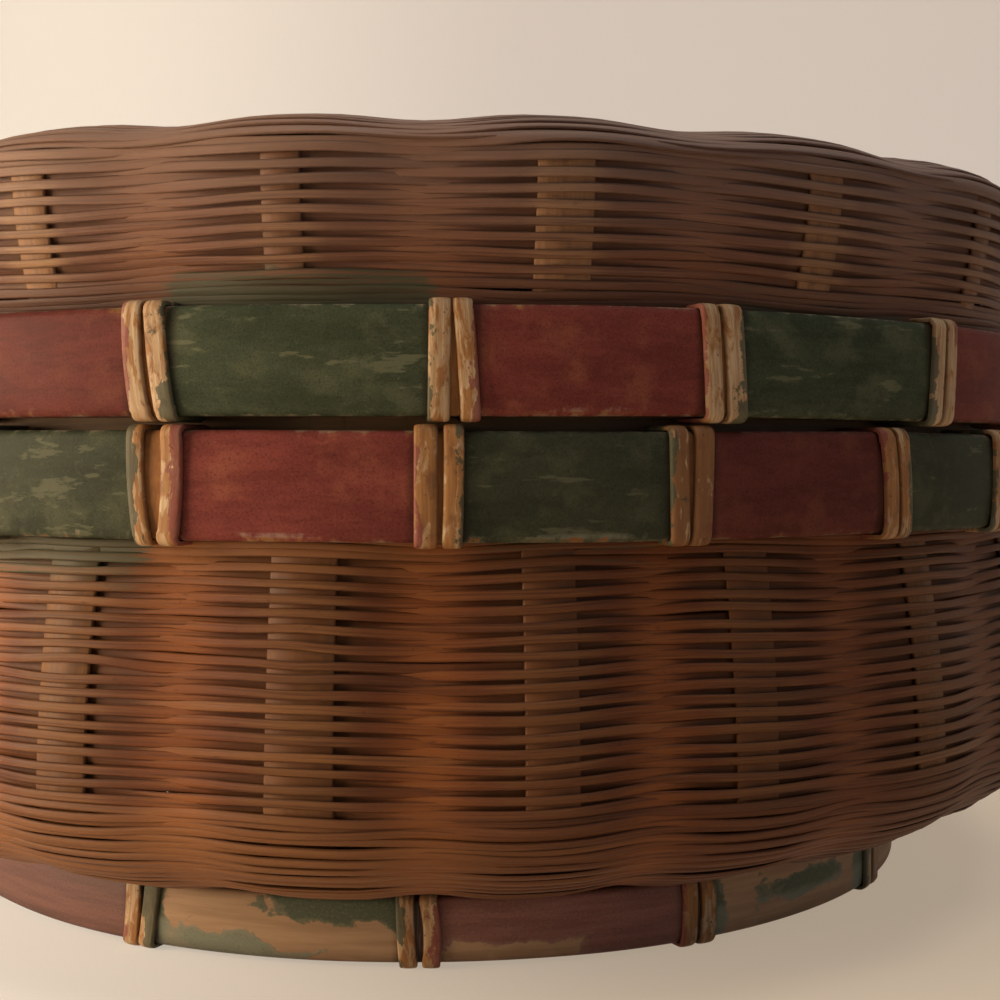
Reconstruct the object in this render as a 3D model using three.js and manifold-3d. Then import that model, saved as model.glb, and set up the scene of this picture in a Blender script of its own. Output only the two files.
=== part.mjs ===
// Round wicker tea basket with a lift-off lid, in millimetres, +Z up.
// The origin lies on the table at the middle of the foot.
// Azimuth is in degrees: 0 is the front, towards -Y, and it grows towards +X.
import * as THREE from "three";
import { mergeVertices } from "three/addons/utils/BufferGeometryUtils.js";
import Module from "manifold-3d";

const wasm = await Module();
wasm.setup();

// Rims: each weave edge is held between an outer painted hoop and an inner plain one
const rimRadius = 120;
const hoopThickness = 3;
const innerHoopThickness = 2.2;
const hoopEdge = 1;
const lidHoopHeight = 15;
const bodyHoopHeight = 15.1;
const bodyRimHeight = 81.35;
const lidTurn = 0.3;

// Weave shells: each wall swells a little past the rim hoops
const weaveThickness = 3;
const lidSwell = 0.7;
const lidWallHeight = 21.7;
const lidShoulderWidth = 31.4;
const lidShoulderRise = 7.6;
const lidCrownRise = 2.6;
const bodySwell = 1.1;
const bellyHeight = 28.9;
const bowlTurnWidth = 34;
const bowlTurnDrop = 18;

// Ribs: the weavers stand out over each stake and draw in halfway to the next one
const lidRibRise = 1.4;
const bodyRibRise = 1.6;

// Stakes: flat strips that cross at the middle and run out to the rim
const stakeThickness = 0.8;
const lidStakeWidth = 5.6;
const bodyStakeWidth = 8;
const stakeTipWidth = 4.6;
const latticePitch = 5.6;
const latticeMargin = 2;
const lidStripsAcross = 4;
const lidStripsAlong = 5;
const bodyStripsAcross = 5;
const bodyStripsAlong = 5;
const bodyTurn = -0.4;

// Binding cane: two turns at each tie, then a run behind the inner hoop to the next tie
const caneWidth = 2.9;
const caneThickness = 0.7;
const canePitch = 3.6;

// Foot
const footInset = 25.8;
const footHoopThickness = 2.8;
const footSkirtThickness = 2.4;
const footInnerThickness = 2;
const footTieCount = 12;
const footTurn = -1.5;
const footSlack = 0.6;

// Collar in the mouth of the bowl
const collarThickness = 1.2;
const collarRise = 8;
const collarDepth = 11;

// Hand-made unevenness: the stakes and ties stand this many degrees closer together towards the front
const lidCrowding = 2.5;
const bodyCrowding = 4.5;

// Room between pieces: slack around threaded pieces, and how close the cane is drawn to a hoop
const slack = 0.3;
const caneSlack = 0.1;
const lidSlack = 0.6;
const scarfGap = 0.4;
const scarfSlope = 14;

const lidRadius = rimRadius + lidSwell;
const bodyRadius = rimRadius + bodySwell;
const footRadius = rimRadius - footInset;

const radians = THREE.MathUtils.degToRad;
const up = new THREE.Vector3(0, 0, 1);
const down = new THREE.Vector3(0, 0, -1);

function outward(azimuth) {
  return new THREE.Vector3(Math.sin(radians(azimuth)), -Math.cos(radians(azimuth)), 0);
}

function inward(azimuth) {
  return outward(azimuth + 180);
}

// A point at a radius and height, and some way sideways along the rim
function around(azimuth, radius, height, sideways = 0) {
  const point = outward(azimuth).multiplyScalar(radius);
  point.addScaledVector(outward(azimuth + 90), sideways);
  point.z = height;
  return point;
}

function toSolid(geometry) {
  const bare = geometry.clone();
  bare.deleteAttribute("normal");
  bare.deleteAttribute("uv");
  const merged = mergeVertices(bare, 1e-4);
  return new wasm.Manifold(new wasm.Mesh({
    numProp: 3,
    vertProperties: new Float32Array(merged.attributes.position.array),
    triVerts: new Uint32Array(merged.index.array),
  }));
}

function toGeometry(solid) {
  const mesh = solid.getMesh();
  const geometry = new THREE.BufferGeometry();
  geometry.setAttribute("position", new THREE.BufferAttribute(mesh.vertProperties, 3));
  geometry.setIndex(new THREE.BufferAttribute(mesh.triVerts, 1));
  geometry.computeVertexNormals();
  return geometry;
}

function cut(geometry, tools) {
  const left = tools.reduce((solid, tool) => solid.subtract(toSolid(tool)), toSolid(geometry));
  return toGeometry(left);
}

// A ring from a closed section in radius and height. Its flats lie at the section's radii.
function ring(section, sides, phase) {
  const corner = 1 / Math.cos(Math.PI / sides);
  const closed = [...section, section[0]].map(([radius, height]) => new THREE.Vector2(radius * corner, height));
  const geometry = new THREE.LatheGeometry(closed, sides, radians(phase) - Math.PI / sides);
  return geometry.rotateX(Math.PI / 2);
}

// A ring between two sections of as many points: the plain one over each stake, the drawn-in one at each tie
function ribbedRing(plain, drawnIn, stakeCount, phase) {
  const shares = [1, 0.5, 0, 0.5];
  const columns = shares.length * stakeCount;
  const corner = 1 / Math.cos((2 * Math.PI) / columns);
  const positions = [];
  const index = [];
  for (let column = 0; column < columns; column += 1) {
    const share = shares[column % shares.length];
    const reach = column % 2 === 1 ? corner : 1;
    const [here, next] = [column, (column + 1) % columns].map((place) => place * plain.length);
    plain.forEach(([radius, height], i) => {
      const [drawnRadius, drawnHeight] = drawnIn[i];
      const point = around(
        phase + (column * 360) / columns,
        THREE.MathUtils.lerp(radius, drawnRadius, share) * reach,
        THREE.MathUtils.lerp(height, drawnHeight, share));
      const after = (i + 1) % plain.length;
      positions.push(...point.toArray());
      index.push(here + i, next + i, next + after, here + i, next + after, here + after);
    });
  }
  const geometry = new THREE.BufferGeometry();
  geometry.setAttribute("position", new THREE.Float32BufferAttribute(positions, 3));
  geometry.setIndex(index);
  geometry.computeVertexNormals();
  return geometry;
}

// Moves an outline of radius and height towards the inside of the basket
function offsetOutline(outline, distance) {
  const normals = outline.slice(1).map(([radius, height], i) => {
    const along = new THREE.Vector2(radius - outline[i][0], height - outline[i][1]).normalize();
    return new THREE.Vector2(-along.y, along.x);
  });
  return outline.map(([radius, height], i) => {
    const before = normals[Math.max(i - 1, 0)];
    const after = normals[Math.min(i, normals.length - 1)];
    const share = distance / (1 + before.dot(after));
    return [radius + (before.x + after.x) * share, height + (before.y + after.y) * share];
  });
}

// The outline between two stakes: drawn in along the wall, less towards the middle, and not where a rim holds it
function drawnOutline(outline, rise, held) {
  const drawn = offsetOutline(outline, rise);
  return outline.map(([radius, height], i) => {
    const share = held(height) ? 0 : radius / rimRadius;
    return [
      THREE.MathUtils.lerp(radius, drawn[i][0], share),
      THREE.MathUtils.lerp(height, drawn[i][1], share),
    ];
  });
}

function mitre(before, after) {
  return before.clone().add(after).divideScalar(1 + before.dot(after));
}

// A flat strip along a path. Each step has the way its width runs and the way its face looks.
function sweepStrip(path, steps, widths, thickness) {
  const positions = [];
  path.forEach((point, i) => {
    const before = steps[Math.max(i - 1, 0)];
    const after = steps[Math.min(i, steps.length - 1)];
    const across = mitre(before.across, after.across).multiplyScalar(widths[i] / 2);
    const face = mitre(before.face, after.face).multiplyScalar(thickness / 2);
    for (const [side, level] of [[-1, -1], [1, -1], [1, 1], [-1, 1]]) {
      positions.push(...point.clone().addScaledVector(across, side).addScaledVector(face, level).toArray());
    }
  });
  const index = [0, 1, 2, 0, 2, 3];
  for (let i = 0; i < path.length - 1; i += 1) {
    for (let k = 0; k < 4; k += 1) {
      const [a, b, c, d] = [4 * i + k, 4 * i + ((k + 1) % 4), 4 * i + 4 + ((k + 1) % 4), 4 * i + 4 + k];
      index.push(a, d, c, a, c, b);
    }
  }
  const last = 4 * (path.length - 1);
  index.push(last, last + 2, last + 1, last, last + 3, last + 2);
  const geometry = new THREE.BufferGeometry();
  geometry.setAttribute("position", new THREE.Float32BufferAttribute(positions, 3));
  geometry.setIndex(index);
  geometry.computeVertexNormals();
  return geometry;
}

function evenAngles(count, first) {
  return Array.from({ length: count }, (_, i) => first + (i * 360) / count);
}

// Radii through a rim, from the outside in
const hoopBore = rimRadius - hoopThickness;
const weaveEdgeOuter = hoopBore - slack;
const weaveEdgeInner = weaveEdgeOuter - weaveThickness;
const innerHoopOuter = weaveEdgeInner - slack;
const innerHoopBore = innerHoopOuter - innerHoopThickness;
const caneInside = innerHoopBore - caneSlack - caneThickness;
const collarOuter = caneInside - lidSlack;
const collarInner = collarOuter - collarThickness;

// Heights of the rims: the lid's cane rests on the bowl's cane
const bodyHoopBottom = bodyRimHeight - bodyHoopHeight;
const lidHoopBottom = bodyRimHeight + 2 * (caneSlack + caneThickness) + slack;
const lidHoopTop = lidHoopBottom + lidHoopHeight;
const bodyWeaveTop = bodyRimHeight - slack;
const lidWeaveBottom = lidHoopBottom + slack;
const bowlUnderside = bellyHeight - bowlTurnDrop;

const lidStakeCount = 2 * (lidStripsAcross + lidStripsAlong);
const bodyStakeCount = 2 * (bodyStripsAcross + bodyStripsAlong);
const lidSides = 2 * lidStakeCount;
const bodySides = 2 * bodyStakeCount;
const footSides = 3 * footTieCount;

// The strips of a lattice clear each other at this radius, and the weave starts just outside it
function fanRadius(stripsAcross, stripsAlong) {
  const half = (strips) => ((strips - 1) / 2) * latticePitch + latticePitch;
  return Math.hypot(half(stripsAcross), half(stripsAlong)) + latticePitch / 2;
}
const lidFan = fanRadius(lidStripsAcross, lidStripsAlong);
const bodyFan = fanRadius(bodyStripsAcross, bodyStripsAlong);
const lidHole = lidFan + latticeMargin;
const bodyHole = bodyFan + latticeMargin;

// A quarter turn from the wall to the flat, as steps of radius and height
function quarterTurn(middleRadius, middleHeight, width, rise, steps) {
  const turn = new THREE.EllipseCurve(middleRadius, middleHeight, width, rise, 0, Math.PI / 2);
  return turn.getPoints(steps).map((point) => [point.x, point.y]);
}

// A wall that swells from the rim to its widest radius, without its last point
function swellingWall(fromRadius, fromHeight, toRadius, toHeight, steps) {
  const start = new THREE.Vector2(fromRadius, fromHeight);
  const pull = new THREE.Vector2(toRadius, fromHeight * 0.45 + toHeight * 0.55);
  const wall = new THREE.QuadraticBezierCurve(start, pull, new THREE.Vector2(toRadius, toHeight));
  return wall.getPoints(steps).slice(0, -1).map((point) => [point.x, point.y]);
}

const lidShoulderHeight = lidHoopTop + lidWallHeight;
const lidCrownHeight = lidShoulderHeight + lidShoulderRise + lidCrownRise;
const lidOutline = [
  [weaveEdgeOuter, lidWeaveBottom],
  ...swellingWall(weaveEdgeOuter, lidHoopTop, lidRadius, lidShoulderHeight, 2),
  ...quarterTurn(lidRadius - lidShoulderWidth, lidShoulderHeight, lidShoulderWidth, lidShoulderRise, 4),
  [lidHole, lidCrownHeight],
];
const bowlTurnStart = bodyRadius - bowlTurnWidth;
const bowlTurn = quarterTurn(bowlTurnStart, bellyHeight, bowlTurnWidth, -bowlTurnDrop, 5).reverse();
const bowlOutline = [
  [bodyHole, bowlUnderside],
  ...bowlTurn.slice(0, -1),
  [bodyRadius, bellyHeight],
  ...swellingWall(weaveEdgeOuter, bodyHoopBottom, bodyRadius, bellyHeight, 3).reverse(),
  [weaveEdgeOuter, bodyWeaveTop],
];

// Foot: a skirt of the weave hangs under the base between the two foot hoops
const skirtOuter = footRadius - footHoopThickness - footSlack;
const skirtInner = skirtOuter - footSkirtThickness;
const footInnerOuter = skirtInner - footSlack;
const footInnerBore = footInnerOuter - footInnerThickness;
const footHoopBottom = caneThickness + caneSlack;
const footHoopTop = bowlUnderside - slack - caneThickness - caneSlack;
const skirtBottom = footHoopBottom + slack;

// Ties lie midway between the stakes on the rims, and evenly on the foot
const lidTies = evenAngles(lidStakeCount, lidTurn);
const bodyTies = evenAngles(bodyStakeCount, bodyTurn);
const footTies = evenAngles(footTieCount, footTurn);

// A box at a tie, for the cane to pass through the weave
function tieSlot(azimuth, innerRadius, outerRadius, height) {
  const width = canePitch + caneWidth + 2 * slack;
  const box = new THREE.BoxGeometry(width, outerRadius - innerRadius, caneThickness + 2 * slack);
  box.translate(0, -(innerRadius + outerRadius) / 2, height);
  return box.rotateZ(radians(azimuth));
}

const lidTieHeight = lidHoopTop + caneSlack + caneThickness / 2;
const bodyTieHeight = bodyHoopBottom - caneSlack - caneThickness / 2;
const footTieTop = footHoopTop + caneSlack + caneThickness / 2;
const footTieBottom = caneThickness / 2;

// One strip of a crossing lattice: rim to rim through the middle, in an upper or a lower layer
function stakeStrip(options, width, thickness, reach) {
  const { outline, fan, phase, strips, crossing, order, spread, level, fullWidth, taper } = options;
  const place = order - (strips - 1) / 2;
  const middle = offsetOutline(outline, weaveThickness / 2).filter(([radius]) => radius > fan);
  const inOrder = middle[0][0] < middle[middle.length - 1][0] ? middle : [...middle].reverse();
  const [lastRadius, lastHeight] = inOrder[inOrder.length - 1];
  const beyond = Math.sign(lastHeight - inOrder[0][1]) * reach;
  const flat = inOrder[0][1];
  const rim = [...inOrder.slice(0, -1), [lastRadius, lastHeight + beyond]];
  const radial = [[fan, flat], ...rim];
  const widthAt = (radius) => THREE.MathUtils.mapLinear(
    THREE.MathUtils.clamp(radius, taper[0], taper[1]), taper[0], taper[1], stakeTipWidth, fullWidth) + width;
  const near = phase + place * spread;
  const far = phase + 180 - place * spread;
  const half = ((crossing - 1) / 2) * latticePitch + latticePitch;
  const layer = flat + level * (stakeThickness / 2 + slack / 2);
  const end = (azimuth, side) => around(azimuth, half, layer, side * place * latticePitch);
  const path = [
    ...[...radial].reverse().map(([radius, height]) => around(far, radius, height)),
    end(phase + 180, -1),
    end(phase, 1),
    ...radial.map(([radius, height]) => around(near, radius, height)),
  ];
  const widths = [
    ...[...radial].reverse().map(([radius]) => widthAt(radius)),
    widthAt(0),
    widthAt(0),
    ...radial.map(([radius]) => widthAt(radius)),
  ];
  const outside = flat > lastHeight ? up : down;
  const steps = path.slice(1).map((point, i) => {
    const between = point.clone().add(path[i]).divideScalar(2);
    const along = point.clone().sub(path[i]).normalize();
    const facing = Math.abs(along.z) > 0.5 ? between.setZ(0).normalize() : outside;
    const across = along.clone().cross(facing).normalize();
    return { across, face: across.clone().cross(along) };
  });
  return sweepStrip(path, steps, widths, thickness);
}

function lattice(shared, stripsAcross, stripsAlong, phase) {
  const spread = 180 / (stripsAcross + stripsAlong);
  const across = Array.from({ length: stripsAcross }, (_, order) => ({
    ...shared, spread, phase, strips: stripsAcross, crossing: stripsAlong, order, level: -1,
  }));
  const along = Array.from({ length: stripsAlong }, (_, order) => ({
    ...shared, spread, phase: phase + 90, strips: stripsAlong, crossing: stripsAcross, order, level: 1,
  }));
  return [...across, ...along];
}

const lidTop = {
  outline: lidOutline,
  fan: lidFan,
  fullWidth: lidStakeWidth,
  taper: [lidHole, lidRadius - lidShoulderWidth],
};
const bowlBase = {
  outline: bowlOutline,
  fan: bodyFan,
  fullWidth: bodyStakeWidth,
  taper: [bodyHole, bowlTurnStart],
};
const lidStrips = lattice(lidTop, lidStripsAcross, lidStripsAlong, lidTurn);
const bodyStrips = lattice(bowlBase, bodyStripsAcross, bodyStripsAlong, bodyTurn + 180 / bodyStakeCount);

const stake = (options) => stakeStrip(options, 0, stakeThickness, 0);
const tunnel = (options) => stakeStrip(options, 2 * slack, stakeThickness + 2 * slack, 4);

const lidInside = offsetOutline(lidOutline, weaveThickness).reverse();
const lidDrawnIn = drawnOutline(lidOutline, lidRibRise, (height) => height <= lidHoopTop);
const lidShell = ribbedRing([...lidOutline, ...lidInside], [...lidDrawnIn, ...lidInside], lidStakeCount, lidTurn);
const lidSlots = lidTies.map((azimuth) => tieSlot(azimuth, innerHoopBore, rimRadius, lidTieHeight));
const lidWeave = cut(lidShell, [...lidStrips.map(tunnel), ...lidSlots]);

const bowlInside = offsetOutline(bowlOutline, weaveThickness).reverse();
const bowlDrawnIn = drawnOutline(bowlOutline, bodyRibRise, (height) => height >= bodyHoopBottom);
const pastSkirt = bowlOutline.findIndex(([radius]) => radius > skirtOuter);

// The bowl's whole section, with the skirt under an outline
function bowlSection(outline) {
  const [, [, underside]] = outline;
  const [[r0, z0], [r1, z1]] = [outline[pastSkirt - 1], outline[pastSkirt]];
  return [
    outline[0],
    [skirtInner, underside],
    [skirtInner, skirtBottom],
    [skirtOuter, skirtBottom],
    [skirtOuter, THREE.MathUtils.mapLinear(skirtOuter, r0, r1, z0, z1)],
    ...outline.slice(pastSkirt),
    ...bowlInside,
  ];
}

const bodyShell = ribbedRing(bowlSection(bowlOutline), bowlSection(bowlDrawnIn), bodyStakeCount, bodyTurn);
const bodySlots = bodyTies.map((azimuth) => tieSlot(azimuth, innerHoopBore, rimRadius, bodyTieHeight));
const footSlots = footTies.map((azimuth) => tieSlot(azimuth, footInnerBore, footRadius, footTieTop));
const bodyWeave = cut(bodyShell, [...bodyStrips.map(tunnel), ...bodySlots, ...footSlots]);

// A bent bamboo hoop whose ends meet in a long scarf
function hoop(outer, inner, bottom, top, edge, sides, phase, scarfAt) {
  const square = [[inner, bottom], [outer, bottom], [outer, top], [inner, top]];
  const rounded = [
    [inner, bottom],
    [outer - edge, bottom],
    [outer, bottom + edge],
    [outer, top - edge],
    [outer - edge, top],
    [inner, top],
  ];
  const section = edge > 0 ? rounded : square;
  const thickness = outer - inner;
  const scarfLength = (3 * thickness) / Math.tan(radians(scarfSlope));
  const slit = new THREE.BoxGeometry(scarfLength, scarfGap, 2 * (top - bottom));
  slit.rotateZ(radians(scarfSlope));
  slit.translate(0, -(outer + inner) / 2, (top + bottom) / 2);
  slit.rotateZ(radians(scarfAt));
  return cut(ring(section, sides, phase), [slit]);
}

// The binding cane of a rim, as one path through all its ties
function lashing(ties, inside, outside, bottom, top, sides, phase) {
  const middle = (bottom + top) / 2;
  const flat = 360 / sides;
  const path = [];
  const steps = [];
  const go = (point, face, across) => {
    path.push(point);
    steps.push({ face, across });
  };
  ties.forEach((azimuth, i) => {
    const at = (radius, height, sideways) => around(azimuth, radius, height, sideways);
    const [a, b] = [-canePitch / 2, canePitch / 2];
    const [inwards, outwards, across] = [inward(azimuth), outward(azimuth), outward(azimuth - 90)];
    if (i === 0) {
      go(at(inside, middle, -2.2 * canePitch), inwards, up);
    }
    go(at(inside, middle, -canePitch), inwards, across);
    for (const side of [a, b]) {
      go(at(inside, top, side), up, across);
      go(at(outside, top, side), outwards, across);
      go(at(outside, bottom, side), down, across);
      go(at(inside, bottom, side), inwards, across);
    }
    go(at(inside, middle, canePitch), inwards, up);
    if (i === ties.length - 1) {
      go(at(inside, middle, 2.2 * canePitch), inwards, up);
      return;
    }
    for (let corner = phase + flat / 2; corner < ties[i + 1]; corner += flat) {
      if (corner > azimuth) {
        go(around(corner, inside / Math.cos(Math.PI / sides), middle), inward(corner + flat / 2), up);
      }
    }
  });
  const widths = path.map(() => caneWidth);
  return { path, geometry: sweepStrip(path, steps.slice(0, -1), widths, caneThickness) };
}

// Least gap of a cane to itself, from points along its two long edges
function leastGap(path) {
  const edges = path.slice(1).map((end, i) => {
    const points = [];
    for (let share = 0.1; share < 1; share += 0.2) {
      points.push(path[i].clone().lerp(end, share));
    }
    return points;
  });
  let least = Infinity;
  edges.forEach((points, i) => {
    edges.slice(i + 4, i + 6).forEach((others) => {
      points.forEach((p) => others.forEach((q) => {
        least = Math.min(least, p.distanceTo(q) - caneWidth);
      }));
    });
  });
  return least;
}

const rimLegs = [innerHoopBore - caneSlack - caneThickness / 2, rimRadius + caneSlack + caneThickness / 2];
const lidLashing = lashing(
  lidTies, ...rimLegs, lidHoopBottom - caneSlack - caneThickness / 2, lidTieHeight, lidSides, lidTurn);
const bodyLashing = lashing(
  bodyTies, ...rimLegs, bodyTieHeight, bodyRimHeight + caneSlack + caneThickness / 2, bodySides, bodyTurn);
const footLegs = [footInnerBore - caneSlack - caneThickness / 2, footRadius + caneSlack + caneThickness / 2];
const footLashing = lashing(footTies, ...footLegs, footTieBottom, footTieTop, footSides, footTurn);
for (const [name, lashed] of Object.entries({ lid: lidLashing, body: bodyLashing, foot: footLashing })) {
  console.log(`${name} lashing, least gap to itself ${leastGap(lashed.path).toFixed(2)} mm`);
}

function crowd(geometry, crowding) {
  const position = geometry.attributes.position;
  for (let i = 0; i < position.count; i += 1) {
    const radius = Math.hypot(position.getX(i), position.getY(i));
    const azimuth = Math.atan2(position.getX(i), -position.getY(i));
    const moved = azimuth - radians(crowding) * Math.sin(azimuth);
    position.setXY(i, radius * Math.sin(moved), -radius * Math.cos(moved));
  }
  geometry.computeVertexNormals();
  return geometry;
}

function piece(name, geometry, color, roughness) {
  const material = new THREE.MeshStandardMaterial({ color, roughness, metalness: 0, name: `${name}_surface` });
  const mesh = new THREE.Mesh(geometry, material);
  mesh.name = name;
  return mesh;
}

const lidWicker = 0x74503a;
const bodyWicker = 0x7a4829;
const stakeBamboo = 0x97633f;
const hoopRed = 0x7a3d30;
const hoopGreen = 0x4c4b33;
const plainBamboo = 0x9a7148;
const bindingCane = 0xb08a5c;

const backTie = (ties) => ties[Math.floor(ties.length / 2)];
const sideTie = (ties) => ties[Math.floor(ties.length / 4)];

const basket = new THREE.Group();
basket.name = "basket";
basket.add(piece("body_weave", bodyWeave, bodyWicker, 0.62));
bodyStrips.forEach((options, i) => basket.add(piece(`body_stake_${i + 1}`, stake(options), stakeBamboo, 0.5)));
basket.add(piece("body_rim_hoop", hoop(
  rimRadius, hoopBore, bodyHoopBottom, bodyRimHeight, hoopEdge, bodySides, bodyTurn, backTie(bodyTies)),
  hoopGreen, 0.38));
basket.add(piece("body_inner_hoop", hoop(
  innerHoopOuter, innerHoopBore, bodyHoopBottom, bodyRimHeight, 0, bodySides, bodyTurn, sideTie(bodyTies)),
  plainBamboo, 0.5));
basket.add(piece("body_lashing", bodyLashing.geometry, bindingCane, 0.45));
basket.add(piece("body_collar", hoop(
  collarOuter, collarInner, bodyRimHeight - collarDepth, bodyRimHeight + collarRise, 0,
  bodySides, bodyTurn, backTie(bodyTies)), plainBamboo, 0.5));
basket.add(piece("foot_hoop", hoop(
  footRadius, footRadius - footHoopThickness, footHoopBottom, footHoopTop, hoopEdge,
  footSides, footTurn, backTie(footTies)), hoopRed, 0.5));
basket.add(piece("foot_inner_hoop", hoop(
  footInnerOuter, footInnerBore, footHoopBottom, footHoopTop, 0, footSides, footTurn, sideTie(footTies)),
  plainBamboo, 0.5));
basket.add(piece("foot_lashing", footLashing.geometry, bindingCane, 0.45));

const lid = new THREE.Group();
lid.name = "lid";
lid.add(piece("lid_weave", lidWeave, lidWicker, 0.62));
lidStrips.forEach((options, i) => lid.add(piece(`lid_stake_${i + 1}`, stake(options), stakeBamboo, 0.5)));
lid.add(piece("lid_rim_hoop", hoop(
  rimRadius, hoopBore, lidHoopBottom, lidHoopTop, hoopEdge, lidSides, lidTurn, backTie(lidTies)),
  hoopRed, 0.38));
lid.add(piece("lid_inner_hoop", hoop(
  innerHoopOuter, innerHoopBore, lidHoopBottom, lidHoopTop, 0, lidSides, lidTurn, sideTie(lidTies)),
  plainBamboo, 0.5));
lid.add(piece("lid_lashing", lidLashing.geometry, bindingCane, 0.45));

basket.children.forEach((mesh) => crowd(mesh.geometry, bodyCrowding));
lid.children.forEach((mesh) => crowd(mesh.geometry, lidCrowding));

const part = new THREE.Group();
part.name = "tea_basket";
part.add(basket, lid);
export default part;
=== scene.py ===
import math

import bpy
import numpy as np
from mathutils import Matrix, Vector


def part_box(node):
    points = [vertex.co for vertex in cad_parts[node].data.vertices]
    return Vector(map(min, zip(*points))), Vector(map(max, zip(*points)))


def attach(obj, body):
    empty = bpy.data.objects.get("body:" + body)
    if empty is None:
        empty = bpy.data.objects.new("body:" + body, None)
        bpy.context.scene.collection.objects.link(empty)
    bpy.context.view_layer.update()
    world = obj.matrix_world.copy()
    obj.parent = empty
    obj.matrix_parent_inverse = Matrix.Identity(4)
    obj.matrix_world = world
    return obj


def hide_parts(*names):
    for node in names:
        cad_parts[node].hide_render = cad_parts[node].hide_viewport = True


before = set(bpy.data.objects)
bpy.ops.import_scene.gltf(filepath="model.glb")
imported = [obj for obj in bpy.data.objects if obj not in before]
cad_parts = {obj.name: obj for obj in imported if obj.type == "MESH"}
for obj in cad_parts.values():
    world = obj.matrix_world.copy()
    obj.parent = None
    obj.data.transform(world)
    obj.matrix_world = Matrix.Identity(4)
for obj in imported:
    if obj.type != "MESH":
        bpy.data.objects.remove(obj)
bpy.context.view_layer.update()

print("frame loaded,", len(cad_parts), "solids")

mm = 0.001
full = 2 * math.pi


def nodeBox(node):                                   # a solid's lowest and highest corner in mm
    low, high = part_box(node)
    return [value / mm for value in low], [value / mm for value in high]


lidHoopLow, lidHoopHigh = (corner[2] for corner in nodeBox("lid_rim_hoop"))
bodyHoopLow, bodyHoopHigh = (corner[2] for corner in nodeBox("body_rim_hoop"))
footHoopLow, footHoopHigh = (corner[2] for corner in nodeBox("foot_hoop"))
lidWeaveLow, lidWeaveHigh = (corner[2] for corner in nodeBox("lid_weave"))
bodyWeaveHigh = nodeBox("body_weave")[1][2]
collarLow, collarHigh = (corner[2] for corner in nodeBox("body_collar"))

# The rims, in mm and degrees. Azimuth 0 is the front and grows to the right
rims = {
    "radius": 120.0, "hoop": 3.0, "innerHoop": 2.2, "edge": 1.0,
    "weave": 3.0, "slack": 0.3,
    "lidTurn": 0.3, "lidTies": 18, "lidCrowding": 2.5,
    "bodyTurn": -0.4, "bodyTies": 20, "bodyCrowding": 4.5,
}
weaveEdge = rims["radius"] - rims["hoop"] - rims["slack"]
innerHoopOut = weaveEdge - rims["weave"] - rims["slack"]
innerHoopIn = innerHoopOut - rims["innerHoop"]


# Shader sums: a link is one socket, and a sum of links adds its nodes
class Link:
    def __init__(self, finish, socket):
        self.finish = finish
        self.socket = socket

    def math(self, operation, other=0.0, turned=False):
        first, second = (other, self) if turned else (self, other)
        return self.finish.node("ShaderNodeMath", {"operation": operation}, {0: first, 1: second})

    def __add__(self, other):
        return self.math("ADD", other)

    def __radd__(self, other):
        return self.math("ADD", other, True)

    def __sub__(self, other):
        return self.math("SUBTRACT", other)

    def __rsub__(self, other):
        return self.math("SUBTRACT", other, True)

    def __mul__(self, other):
        return self.math("MULTIPLY", other)

    def __rmul__(self, other):
        return self.math("MULTIPLY", other, True)

    def __abs__(self):
        return self.math("ABSOLUTE")

    def most(self, other):
        return self.math("MAXIMUM", other)


class Finish:
    def __init__(self, name, **fixed):
        self.material = bpy.data.materials.new(name)
        self.material.use_nodes = True
        self.tree = self.material.node_tree
        self.tree.nodes.clear()
        self.shader = self.tree.nodes.new("ShaderNodeBsdfPrincipled")
        self.output = self.tree.nodes.new("ShaderNodeOutputMaterial")
        self.tree.links.new(self.shader.outputs[0], self.output.inputs["Surface"])
        for socket, value in fixed.items():
            self.shader.inputs[socket].default_value = value

    def feed(self, socket, value):
        if isinstance(value, Link):
            self.tree.links.new(value.socket, socket)
        elif socket.type == "RGBA" and len(value) == 3:
            socket.default_value = (*value, 1.0)
        else:
            socket.default_value = value

    def node(self, kind, settings=None, sockets=None, out=0):
        made = self.tree.nodes.new(kind)
        for setting, value in (settings or {}).items():
            setattr(made, setting, value)
        for socket, value in (sockets or {}).items():
            self.feed(made.inputs[socket], value)
        return Link(self, made.outputs[out])

    def note(self, name):                            # a number stored on the mesh
        return self.node("ShaderNodeAttribute", {"attribute_name": name}, out="Fac")

    def spot(self, x, y, z=0.0):
        return self.node("ShaderNodeCombineXYZ", None, {0: x, 1: y, 2: z})

    def noise(self, where, scale=1.0, detail=2.0, rough=0.5, bend=0.0):
        sockets = {"Vector": where, "Scale": scale, "Detail": detail, "Roughness": rough, "Distortion": bend}
        return self.node("ShaderNodeTexNoise", None, sockets, "Fac")

    def ease(self, value, low, high):                # 0 below low, 1 above high
        sockets = {"Value": value, "From Min": low, "From Max": high}
        return self.node("ShaderNodeMapRange", {"interpolation_type": "SMOOTHSTEP"}, sockets)

    def blend(self, share, first, second):           # from the first colour to the second
        return self.node("ShaderNodeMix", {"data_type": "RGBA"}, {0: share, 6: first, 7: second}, 2)

    def bump(self, height, depth, strength):         # depth in mm
        sockets = {"Height": height, "Distance": depth * mm, "Strength": strength}
        return self.node("ShaderNodeBump", None, sockets)

    def done(self, colour, rough, normal):
        self.feed(self.shader.inputs["Base Color"], colour)
        self.feed(self.shader.inputs["Roughness"], rough)
        self.feed(self.shader.inputs["Normal"], normal)
        return self.material


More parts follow.
